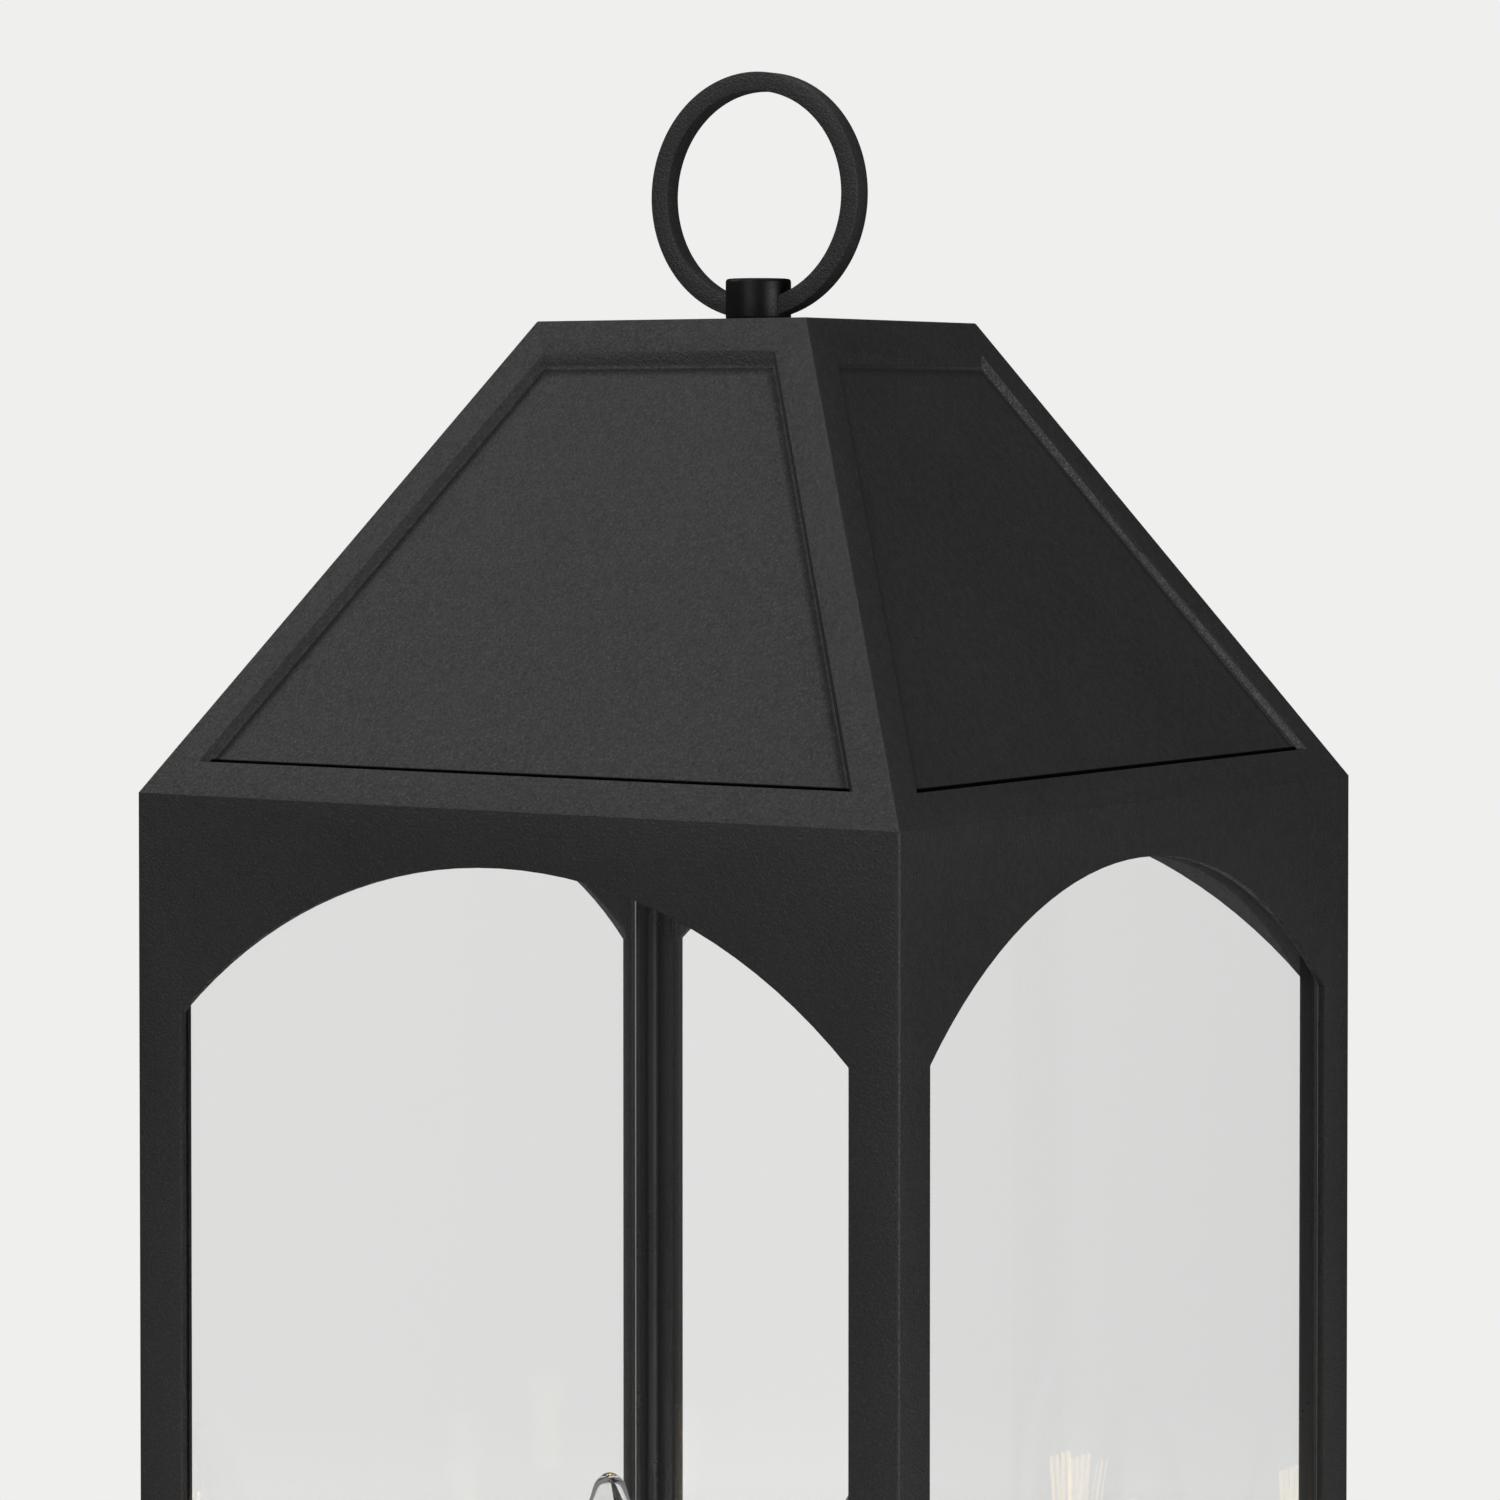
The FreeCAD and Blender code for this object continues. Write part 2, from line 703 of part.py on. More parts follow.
def bulb_glass(x, y):
    foot = bulb_glass_foot
    outer = glass_outline(0.0, foot)
    inner = glass_outline(bulb_glass_wall, foot)
    neck = bulb_neck_radius
    edges = [
        outer.toShape(),
        Part.makeLine(vec(0, 0, bulb_tip_z), vec(0, 0, bulb_tip_z - bulb_glass_wall)),
        inner.toShape(),
        Part.makeLine(vec(neck - bulb_glass_wall, 0, foot), vec(neck, 0, foot)),
    ]
    wire = Part.Wire(Part.__sortEdges__(edges))
    solid = Part.Face(wire).revolve(vec(0, 0, 0), UP, 360)
    solid.translate(vec(x, y, 0))
    return solid


def bulb_stem(x, y):
    """The glass press that carries the filaments and closes the glass."""
    inner = bulb_neck_radius - bulb_glass_wall
    foot = bulb_glass_foot
    post_top = foot + filament_rise - 1
    outline = [(0, foot), (inner - 0.1, foot), (inner - 0.4, foot + 1), (1.9, foot + 2.2), (1.6, post_top), (0, post_top)]
    wire = Part.makePolygon([vec(x + r, y, z) for r, z in outline + [outline[0]]])
    return Part.Face(wire).revolve(vec(x, y, 0), UP, 360)


def bulb_shell(x, y):
    low = bulb_shell_foot
    shell = rod(bulb_base_radius, low, bulb_glass_foot, x, y)
    return shell.cut(rod(bulb_base_radius - bulb_base_wall, low - 1, bulb_glass_foot - bulb_base_wall, x, y))


def bulb_contact(x, y):
    """The insulator and the centre contact under the screw shell."""
    foot = bulb_contact_z
    outline = [
        (0, foot), (1.8, foot), (2.4, foot + 1.0), (bulb_base_radius - 0.4, bulb_shell_foot),
        (0, bulb_shell_foot), (0, foot),
    ]
    wire = Part.makePolygon([vec(x + r, y, z) for r, z in outline])
    return Part.Face(wire).revolve(vec(x, y, 0), UP, 360)


def spoke(start, end, radius):
    axis = end.sub(start)
    return Part.makeCylinder(radius, axis.Length, start, axis)


def bulb_filaments(x, y):
    """Filament sticks that lean outwards, each on a wire from the press."""
    low = bulb_glass_foot + filament_rise
    solids = []
    for k in range(filament_count):
        a = math.radians(45 + 360.0 * k / filament_count)
        out = vec(math.cos(a), math.sin(a), 0)
        foot = vec(x, y, low + 1.5).add(out * filament_foot_radius)
        head = vec(x, y, low + 1.5 + filament_length).add(out * filament_head_radius)
        root = vec(x, y, low - 1)
        stick = spoke(foot, head, filament_radius)
        wire = spoke(root, foot, filament_wire_radius)
        solids.append(stick.fuse(wire).removeSplitter())
    return solids


# ---- everything, by name ----
def build():
    parts = {}
    for side, angle in SIDES.items():
        parts[side + "_arch_frame"] = [turned(arch_frame(), angle)]
        parts[side + "_glass"] = [turned(glass_pane(), angle)]
        parts[side + "_glass_strips"] = [turned(s, angle) for s in glass_strips()]
    parts["glass_pads"] = glass_pads()
    parts["corner_rods"] = corner_rods()
    parts["rod_top_nuts"] = rod_nuts(top_ring_top)
    parts["rod_foot_nuts"] = rod_nuts(floor_foot - rod_nut_height)
    parts["top_ring"] = [top_ring()]
    parts["cross_bar"] = [cross_bar()]
    parts["cross_bar_screws"] = cross_bar_screws()
    parts["centre_stud"] = [rod(stud_radius, top_ring_top - stud_nut_height - 1, stud_top)]
    parts["stud_nuts"] = stud_nuts()
    parts["roof_shell"] = [roof_shell()]
    parts["ring_loop"] = [ring_loop()]
    parts["ring_boss"] = [ring_boss()]
    parts["boss_washer"] = [tube(boss_radius - washer_setback, stud_radius + stud_hole_clearance, roof_top_z, boss_foot)]
    parts["base_casting"] = [base_casting()]
    parts["base_gasket"] = [base_gasket()]
    parts["mounting_plate"] = [mounting_plate()]
    parts["side_screws"] = side_screws()
    parts["cluster_hub"] = [cluster_hub()]
    parts["cluster_arms"] = cluster_arms()
    parts["cluster_nipple"] = [nipple()]
    parts["nipple_nut"] = [nipple_nut()]
    parts["hub_knob"] = [hub_knob()]
    parts["wire_bushing"] = [wire_bushing()]
    parts["ground_screw"] = [ground_screw()]
    parts["candle_cups"] = [candle_cup(x, y) for _, _, x, y in lamp_places()]
    parts["candle_sleeves"] = [candle_sleeve(x, y) for _, _, x, y in lamp_places()]
    parts["socket_stems"] = [socket_stem(x, y) for _, _, x, y in lamp_places()]
    parts["lamp_sockets"] = [lamp_socket(x, y) for _, _, x, y in lamp_places()]
    parts["socket_shells"] = [socket_shell(x, y) for _, _, x, y in lamp_places()]
    parts["socket_contacts"] = [socket_contact(x, y) for _, _, x, y in lamp_places()]
    for k, _, x, y in lamp_places():
        parts["bulb_glass_%d" % k] = [bulb_glass(x, y)]
        parts["bulb_shell_%d" % k] = [bulb_shell(x, y)]
        parts["bulb_contact_%d" % k] = [bulb_contact(x, y)]
        parts["bulb_stem_%d" % k] = [bulb_stem(x, y)]
        parts["bulb_filaments_%d" % k] = bulb_filaments(x, y)
    return parts


def main():
    os.makedirs("parts", exist_ok=True)
    parts = build()
    for name, solids in parts.items():
        shape = solids[0] if len(solids) == 1 else Part.makeCompound(solids)
        bad = [s for s in solids if not s.isValid() or len(s.Solids) != 1 or s.Volume <= 0]
        if bad:
            print("check", name, [(s.isValid(), len(s.Solids), round(s.Volume, 1)) for s in bad])
        shape.exportStep("parts/%s.step" % name)
    print("nodes", len(parts), "lamp tip", round(bulb_tip_z, 2), "top", round(ring_centre_z + ring_outer_radius, 2))


main()
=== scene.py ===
import bpy
import bmesh
import json
import math
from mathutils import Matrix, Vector

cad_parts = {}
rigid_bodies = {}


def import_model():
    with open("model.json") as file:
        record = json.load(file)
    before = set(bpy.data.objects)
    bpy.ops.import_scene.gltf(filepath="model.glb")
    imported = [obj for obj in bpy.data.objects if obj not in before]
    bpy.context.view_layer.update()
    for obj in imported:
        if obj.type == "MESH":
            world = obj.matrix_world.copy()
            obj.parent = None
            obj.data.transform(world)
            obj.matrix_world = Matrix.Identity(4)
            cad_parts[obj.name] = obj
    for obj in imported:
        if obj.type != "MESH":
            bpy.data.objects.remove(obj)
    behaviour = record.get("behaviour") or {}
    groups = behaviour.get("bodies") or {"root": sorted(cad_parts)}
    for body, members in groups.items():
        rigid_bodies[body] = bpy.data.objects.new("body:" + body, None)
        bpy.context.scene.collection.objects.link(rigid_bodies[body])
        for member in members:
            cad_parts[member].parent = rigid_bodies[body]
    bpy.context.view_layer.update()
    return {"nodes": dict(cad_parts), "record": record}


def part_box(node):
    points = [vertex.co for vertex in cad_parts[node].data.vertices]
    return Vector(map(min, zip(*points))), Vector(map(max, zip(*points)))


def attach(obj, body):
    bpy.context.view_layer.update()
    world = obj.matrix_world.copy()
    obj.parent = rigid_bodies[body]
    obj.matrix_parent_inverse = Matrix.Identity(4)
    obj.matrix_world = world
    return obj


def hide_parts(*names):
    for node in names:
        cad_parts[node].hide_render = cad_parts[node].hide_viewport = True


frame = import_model()
scene = bpy.context.scene
nodes = frame["nodes"]


def middle(nodeName):  # centre of a CAD node's box
    low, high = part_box(nodeName)
    return (low + high) / 2


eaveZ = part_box("front_arch_frame")[1].z
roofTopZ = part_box("roof_shell")[1].z
print("frame loaded", len(nodes), "nodes")

view = {"turn": 33.541, "tilt": -1.323, "distance": 1.45006, "aside": -0.00244, "overEave": 0.10145,
        "lens": 119.94, "shift": -0.1333}
turn = math.radians(view["turn"])
toCamera = Vector((math.sin(turn), -math.cos(turn), 0))
toRight = Vector((math.cos(turn), math.sin(turn), 0))
cameraData = bpy.data.cameras.new("viewCamera")
cameraData.lens = view["lens"]
cameraData.sensor_width = 36
cameraData.shift_y = view["shift"]
cameraData.clip_start = 0.02
camera = bpy.data.objects.new("viewCamera", cameraData)
camera.location = toCamera * view["distance"] + toRight * view["aside"]
camera.location.z = eaveZ + view["overEave"]
camera.rotation_euler = (math.radians(90 + view["tilt"]), 0, turn)
scene.collection.objects.link(camera)
scene.camera = camera


def areaLight(name, place, aim, size, power, tint=(1, 1, 1)):
    data = bpy.data.lights.new(name, "AREA")
    data.shape = "RECTANGLE"
    data.size, data.size_y = size
    data.energy = power
    data.color = tint
    lamp = bpy.data.objects.new(name, data)
    lamp.location = place
    lamp.rotation_euler = (Vector(aim) - Vector(place)).to_track_quat("-Z", "Y").to_euler()
    scene.collection.objects.link(lamp)
    return lamp


lightPlan = {  # place, aim, size, power and tint
    "leftHigh": ((-2.6, -0.9, 2.4), (0, 0, 0.4), (1.6, 1.6), 21.5, (1.0, 0.99, 0.975)),
    "frontLow": ((0.2, -3.0, 0.6), (0, 0, 0.35), (1.6, 1.2), 15, (1.0, 0.99, 0.98)),
    "frontHigh": ((-0.4, -2.6, 2.4), (0, 0, 0.4), (1.6, 1.6), 28, (1.0, 0.99, 0.98)),
    "rightLow": ((2.8, -0.4, 0.4), (0, 0, 0.35), (1.4, 1.4), 48, (0.985, 0.99, 1.0)),
    "top": ((0.1, 0.1, 2.8), (0, 0, 0.4), (1.8, 1.8), 20, (1.0, 1.0, 1.0)),
}
for name, plan in lightPlan.items():
    areaLight(name + "Light", *plan)

roomTone = {
    "seen": (0.865, 0.865, 0.855, 1),
    "lit": (0.80, 0.82, 0.85, 1),
    "litStrength": 0.05,
    "insideShare": 0.2,  # how much of the pale room shows to light that has met the inside
}
world = bpy.data.worlds.new("paleRoom")
world.use_nodes = True
scene.world = world
worldTree = world.node_tree
worldTree.nodes.clear()
worldOut = worldTree.nodes.new("ShaderNodeOutputWorld")
seenTone = worldTree.nodes.new("ShaderNodeBackground")
seenTone.inputs["Color"].default_value = roomTone["seen"]
litTone = worldTree.nodes.new("ShaderNodeBackground")
litTone.inputs["Color"].default_value = roomTone["lit"]
litTone.inputs["Strength"].default_value = roomTone["litStrength"]
rayKind = worldTree.nodes.new("ShaderNodeLightPath")
toneMix = worldTree.nodes.new("ShaderNodeMixShader")


def mathNode(tree, operation, first, second):
    node = tree.nodes.new("ShaderNodeMath")
    node.operation = operation
    for index, value in enumerate((first, second)):
        if isinstance(value, (int, float)):
            node.inputs[index].default_value = value
        else:
            tree.links.new(value, node.inputs[index])
    return node.outputs["Value"]


met = mathNode(worldTree, "ADD", rayKind.outputs["Diffuse Depth"], rayKind.outputs["Glossy Depth"])
bounced = mathNode(worldTree, "MINIMUM", met, 1.0)
lost = mathNode(worldTree, "MULTIPLY", bounced, 1 - roomTone["insideShare"])
kept = mathNode(worldTree, "SUBTRACT", 1.0, lost)
throughGlass = mathNode(worldTree, "MULTIPLY", rayKind.outputs["Is Transmission Ray"], kept)
seenShare = mathNode(worldTree, "MAXIMUM", rayKind.outputs["Is Camera Ray"], throughGlass)
worldTree.links.new(seenShare, toneMix.inputs["Fac"])
worldTree.links.new(litTone.outputs[0], toneMix.inputs[1])
worldTree.links.new(seenTone.outputs[0], toneMix.inputs[2])
worldTree.links.new(toneMix.outputs[0], worldOut.inputs["Surface"])
scene.view_settings.view_transform = "Standard"

floorPlan = {
    "radius": 0.95,
    "steps": 64,
    "fadeFrom": 0.45,
    "fadeTo": 0.03,
    "tone": (0.86, 0.855, 0.845, 1),
    "lift": 0.38,
}
floorMesh = bpy.data.meshes.new("paleFloor")
floorBuild = bmesh.new()
bmesh.ops.create_circle(floorBuild, cap_ends=True, segments=floorPlan["steps"], radius=floorPlan["radius"])
floorBuild.to_mesh(floorMesh)
floorBuild.free()
floor = bpy.data.objects.new("paleFloor", floorMesh)
scene.collection.objects.link(floor)
print("camera, floor and lights set")


def startMaterial(name):
    material = bpy.data.materials.new(name)
    material.use_nodes = True
    tree = material.node_tree
    tree.nodes.clear()
    out = tree.nodes.new("ShaderNodeOutputMaterial")
    shader = tree.nodes.new("ShaderNodeBsdfPrincipled")
    tree.links.new(shader.outputs["BSDF"], out.inputs["Surface"])
    place = tree.nodes.new("ShaderNodeTexCoord")
    return material, tree, shader, place.outputs["Object"]


def startGroup(name, numbers, outputs):
    tree = bpy.data.node_groups.new(name, "ShaderNodeTree")
    tree.interface.new_socket("Place", in_out="INPUT", socket_type="NodeSocketVector")
    for label, value in numbers.items():
        socket = tree.interface.new_socket(label, in_out="INPUT", socket_type="NodeSocketFloat")
        socket.default_value = value
    for label in outputs:
        tree.interface.new_socket(label, in_out="OUTPUT", socket_type="NodeSocketFloat")
    return tree, tree.nodes.new("NodeGroupInput"), tree.nodes.new("NodeGroupOutput")


def noiseNode(tree, vector, scale, detail=2.0, roughness=0.5):
    node = tree.nodes.new("ShaderNodeTexNoise")
    tree.links.new(vector, node.inputs["Vector"])
    if isinstance(scale, (int, float)):
        node.inputs["Scale"].default_value = scale
    else:
        tree.links.new(scale, node.inputs["Scale"])
    node.inputs["Detail"].default_value = detail
    node.inputs["Roughness"].default_value = roughness
    return node.outputs["Fac"]


def mapRange(tree, value, low, high, toLow, toHigh):
    node = tree.nodes.new("ShaderNodeMapRange")
    tree.links.new(value, node.inputs["Value"])
    for label, number in (("From Min", low), ("From Max", high), ("To Min", toLow), ("To Max", toHigh)):
        if isinstance(number, (int, float)):
            node.inputs[label].default_value = number
        else:
            tree.links.new(number, node.inputs[label])
    return node.outputs["Result"]


def mixColours(tree, mask, first, second):
    node = tree.nodes.new("ShaderNodeMix")
    node.data_type = "RGBA"
    tree.links.new(mask, node.inputs["Factor"])
    for label, colour in (("A", first), ("B", second)):
        socket = [s for s in node.inputs if s.name == label and s.type == "RGBA"][0]
        if isinstance(colour, tuple):
            socket.default_value = (*colour, 1)
        else:
            tree.links.new(colour, socket)
    return [s for s in node.outputs if s.type == "RGBA"][0]


def buildPowderGrain():  # the pebbled skin of sprayed and baked powder
    tree, given, result = startGroup(
        "powderGrain", {"Grain Scale": 1300, "Pebble Scale": 420, "Pebble Share": 0.35, "Cloud Scale": 14},
        ("Height", "Sparkle", "Pit", "Cloud"))
    fine = noiseNode(tree, given.outputs["Place"], given.outputs["Grain Scale"], 3.0, 0.6)
    pebble = noiseNode(tree, given.outputs["Place"], given.outputs["Pebble Scale"], 1.0, 0.4)
    pebblePart = mathNode(tree, "MULTIPLY", pebble, given.outputs["Pebble Share"])
    height = mathNode(tree, "ADD", fine, pebblePart)
    tree.links.new(height, result.inputs["Height"])
    tree.links.new(mapRange(tree, fine, 0.56, 0.72, 0.0, 1.0), result.inputs["Sparkle"])  # the highest grains, which the powder coat lightens as painted glints
    tree.links.new(mapRange(tree, fine, 0.44, 0.30, 0.0, 1.0), result.inputs["Pit"])  # and the lowest, which the powder coat darkens as painted shade
    cloud = noiseNode(tree, given.outputs["Place"], given.outputs["Cloud Scale"], 4.0, 0.6)
    tree.links.new(mapRange(tree, cloud, 0.3, 0.7, 0.0, 1.0), result.inputs["Cloud"])
    return tree


def buildSettledDust():  # thin dust on what faces up
    tree, given, result = startGroup("settledDust", {"Patch Scale": 60, "Amount": 0.3}, ("Mask",))
    facing = tree.nodes.new("ShaderNodeNewGeometry")
    parts = tree.nodes.new("ShaderNodeSeparateXYZ")
    tree.links.new(facing.outputs["Normal"], parts.inputs["Vector"])
    upward = mapRange(tree, parts.outputs["Z"], 0.55, 1.0, 0.0, 1.0)
    patch = noiseNode(tree, given.outputs["Place"], given.outputs["Patch Scale"], 4.0, 0.65)
    patchy = mapRange(tree, patch, 0.35, 0.75, 0.2, 1.0)
    mask = mathNode(tree, "MULTIPLY", mathNode(tree, "MULTIPLY", upward, patchy), given.outputs["Amount"])
    tree.links.new(mask, result.inputs["Mask"])
    return tree


def buildSmudge():  # broad soft marks that break up a smooth finish
    tree, given, result = startGroup("smudge", {"Mark Scale": 30, "Low": 0.0, "High": 1.0}, ("Value",))
    broad = noiseNode(tree, given.outputs["Place"], given.outputs["Mark Scale"], 5.0, 0.6)
    value = mapRange(tree, broad, 0.3, 0.7, given.outputs["Low"], given.outputs["High"])
    tree.links.new(value, result.inputs["Value"])
    return tree


powderGrain = buildPowderGrain()
settledDust = buildSettledDust()
smudge = buildSmudge()


def useGroup(tree, group, place, **values):
    node = tree.nodes.new("ShaderNodeGroup")
    node.node_tree = group
    tree.links.new(place, node.inputs["Place"])
    for label, value in values.items():
        node.inputs[label.replace("_", " ")].default_value = value
    return node.outputs


def cloudTone(tree, shader, grain, colour, share):  # the colour drifts towards a share of itself
    tone = mixColours(tree, grain["Cloud"], colour, scaled(colour, share))
    tree.links.new(tone, shader.inputs["Base Color"])


def bumpFrom(tree, shader, height, strength, distance):
    node = tree.nodes.new("ShaderNodeBump")
    node.inputs["Strength"].default_value = strength
    node.inputs["Distance"].default_value = distance
    tree.links.new(height, node.inputs["Height"])
    tree.links.new(node.outputs["Normal"], shader.inputs["Normal"])


def scaled(colour, share):
    return tuple(share * part for part in colour)


# tones for the painted glints on grain peaks, the painted shade in grain pits and the painted shade where a piece
# carries the shade attribute
powderLook = {"peakGlintTone": 3.4, "peakGlintShare": 0.5, "lowGrainShadeTone": 0.35, "lowGrainShadeShare": 0.6, "paintedShadeTone": 0.2,
              "dustTone": (0.16, 0.155, 0.145), "bumpDistance": 0.0006}


def powderCoat(name, dark, light, roughLow, roughHigh, bump, grainScale=1300.0, dust=0.25, specular=0.5):
    material, tree, shader, place = startMaterial(name)
    grain = useGroup(tree, powderGrain, place, Grain_Scale=grainScale)
    dustMask = useGroup(tree, settledDust, place, Amount=dust)["Mask"]
    body = mixColours(tree, grain["Cloud"], dark, light)
    # painted highlight: the highest grains are lightened as glints; painted shade: the lowest grains are darkened
    peakGlint = mathNode(tree, "MULTIPLY", grain["Sparkle"], powderLook["peakGlintShare"])
    peakGlinted = mixColours(tree, peakGlint, body, scaled(light, powderLook["peakGlintTone"]))
    lowGrainShade = mathNode(tree, "MULTIPLY", grain["Pit"], powderLook["lowGrainShadeShare"])
    lowGrainShaded = mixColours(tree, lowGrainShade, peakGlinted, scaled(dark, powderLook["lowGrainShadeTone"]))
    dusted = mixColours(tree, dustMask, lowGrainShaded, powderLook["dustTone"])
    shadeMask = tree.nodes.new("ShaderNodeAttribute")  # painted shade: where a piece carries the shade attribute, the coat is painted darker and duller as shade in its recesses
    shadeMask.attribute_name = "shade"
    tone = mixColours(tree, shadeMask.outputs["Fac"], dusted, scaled(dark, powderLook["paintedShadeTone"]))
    tree.links.new(tone, shader.inputs["Base Color"])
    rough = mapRange(tree, grain["Height"], 0.45, 0.85, roughHigh, roughLow)
    tree.links.new(mapRange(tree, shadeMask.outputs["Fac"], 0.0, 1.0, rough, 1.0), shader.inputs["Roughness"])
    # painted shade: a full metallic share takes the coat's sheen away where it is shaded, so the darkened colour
    # reads near black
    tree.links.new(shadeMask.outputs["Fac"], shader.inputs["Metallic"])
    shader.inputs["Specular IOR Level"].default_value = specular
    bumpFrom(tree, shader, grain["Height"], bump, powderLook["bumpDistance"])
    return material


def satinBlack(name, colour, roughLow, roughHigh, bump):
    material, tree, shader, place = startMaterial(name)
    grain = useGroup(tree, powderGrain, place, Grain_Scale=900.0, Pebble_Scale=180.0)
    rough = useGroup(tree, smudge, place, Mark_Scale=40.0, Low=roughLow, High=roughHigh)["Value"]
    cloudTone(tree, shader, grain, colour, 1.5)
    tree.links.new(rough, shader.inputs["Roughness"])
    bumpFrom(tree, shader, grain["Height"], bump, 0.0003)
    return material


def platedMetal(name, colour, roughLow, roughHigh, brushScale=900.0):
    material, tree, shader, place = startMaterial(name)
    rough = useGroup(tree, smudge, place, Mark_Scale=120.0, Low=roughLow, High=roughHigh)["Value"]
    grain = useGroup(tree, powderGrain, place, Grain_Scale=brushScale)
    cloudTone(tree, shader, grain, colour, 0.72)
    tree.links.new(rough, shader.inputs["Roughness"])
    shader.inputs["Metallic"].default_value = 1.0
    bumpFrom(tree, shader, grain["Height"], 0.08, 0.0002)
    return material


def mouldedPlastic(name, colour, roughLow, roughHigh, glow=0.0):
    material, tree, shader, place = startMaterial(name)
    rough = useGroup(tree, smudge, place, Mark_Scale=70.0, Low=roughLow, High=roughHigh)["Value"]
    grain = useGroup(tree, powderGrain, place, Grain_Scale=1800.0, Pebble_Share=0.1)
    cloudTone(tree, shader, grain, colour, 0.86)
    tree.links.new(rough, shader.inputs["Roughness"])
    shader.inputs["Subsurface Weight"].default_value = glow
    shader.inputs["Subsurface Scale"].default_value = 0.003
    bumpFrom(tree, shader, grain["Height"], 0.05, 0.0002)
    return material


def clearGlass(name, tint, ior, waveScale, waveStrength, letThrough):
    material, tree, shader, place = startMaterial(name)
    shader.inputs["Base Color"].default_value = (*tint, 1)
    shader.inputs["Transmission Weight"].default_value = 1.0
    shader.inputs["IOR"].default_value = ior
    rays = tree.nodes.new("ShaderNodeLightPath")  # lets the lamps' light in without caustics
    blocked = mathNode(tree, "MULTIPLY", rays.outputs["Is Shadow Ray"], letThrough)
    tree.links.new(mathNode(tree, "SUBTRACT", 1.0, blocked), shader.inputs["Alpha"])
    rough = useGroup(tree, smudge, place, Mark_Scale=18.0, Low=0.0, High=0.003)["Value"]
    tree.links.new(rough, shader.inputs["Roughness"])  # hardly any: faint finger marks
    stretch = tree.nodes.new("ShaderNodeMapping")
    stretch.inputs["Scale"].default_value = (1.0, 1.0, 0.06)  # the ripple runs upright
    tree.links.new(place, stretch.inputs["Vector"])
    wave = noiseNode(tree, stretch.outputs["Vector"], waveScale, 1.0, 0.4)
    bumpFrom(tree, shader, wave, waveStrength, 0.0004)
    return material


def groundEdge():  # the seamed edge of a pane, with a painted glow standing in for the light the glass carries to its edge
    material, tree, shader, place = startMaterial("paneRimPaintedGlow")
    chips = useGroup(tree, powderGrain, place, Grain_Scale=700.0, Pebble_Scale=120.0)
    tone = mixColours(tree, chips["Cloud"], (0.66, 0.69, 0.67), (0.80, 0.83, 0.81))
    tree.links.new(tone, shader.inputs["Base Color"])
    # painted glow: the edge emits its own tone, though it is no lamp
    tree.links.new(tone, shader.inputs["Emission Color"])
    shader.inputs["Emission Strength"].default_value = 0.16
    tree.links.new(mapRange(tree, chips["Height"], 0.4, 0.9, 0.25, 0.5), shader.inputs["Roughness"])
    bumpFrom(tree, shader, chips["Height"], 0.3, 0.0003)
    return material


def warmFilament():
    material, tree, shader, place = startMaterial("warmFilament")
    beads = useGroup(tree, powderGrain, place, Grain_Scale=1400.0, Pebble_Scale=900.0)
    tone = mixColours(tree, beads["Sparkle"], (0.92, 0.62, 0.22), (0.98, 0.82, 0.45))
    tree.links.new(tone, shader.inputs["Base Color"])
    tree.links.new(tone, shader.inputs["Emission Color"])
    shader.inputs["Emission Strength"].default_value = 4.0
    shader.inputs["Roughness"].default_value = 0.45
    bumpFrom(tree, shader, beads["Height"], 0.3, 0.0002)
    return material


def rubberSkin(name, colour):
    material, tree, shader, place = startMaterial(name)
    grain = useGroup(tree, powderGrain, place, Grain_Scale=1500.0)
    cloudTone(tree, shader, grain, colour, 1.6)
    rough = mapRange(tree, grain["Height"], 0.4, 0.9, 0.88, 0.72)
    tree.links.new(rough, shader.inputs["Roughness"])
    bumpFrom(tree, shader, grain["Height"], 0.2, 0.0003)
    return material


def paleFloorMaterial():
    material, tree, shader, place = startMaterial("paleFloorPaint")
    shader.inputs["Base Color"].default_value = floorPlan["tone"]
    shader.inputs["Roughness"].default_value = 0.85
    shader.inputs["Specular IOR Level"].default_value = 0.1
    centred = tree.nodes.new("ShaderNodeMapping")
    centred.inputs["Scale"].default_value = (1 / floorPlan["radius"],) * 3
    tree.links.new(place, centred.inputs["Vector"])
    ball = tree.nodes.new("ShaderNodeTexGradient")
    ball.gradient_type = "SPHERICAL"
    tree.links.new(centred.outputs["Vector"], ball.inputs["Vector"])
    solid = mapRange(tree, ball.outputs["Fac"], floorPlan["fadeTo"], 1 - floorPlan["fadeFrom"], 0.0, 1.0)
    sides = tree.nodes.new("ShaderNodeNewGeometry")  # only the upper side shows
    above = mathNode(tree, "SUBTRACT", 1.0, sides.outputs["Backfacing"])
    tree.links.new(mathNode(tree, "MULTIPLY", solid, above), shader.inputs["Alpha"])
    rays = tree.nodes.new("ShaderNodeLightPath")
    looked = mathNode(tree, "MAXIMUM", rays.outputs["Is Camera Ray"], rays.outputs["Is Transmission Ray"])
    lift = mathNode(tree, "MULTIPLY", looked, floorPlan["lift"])
    tree.links.new(lift, shader.inputs["Emission Strength"])
    shader.inputs["Emission Color"].default_value = floorPlan["tone"]
    return material


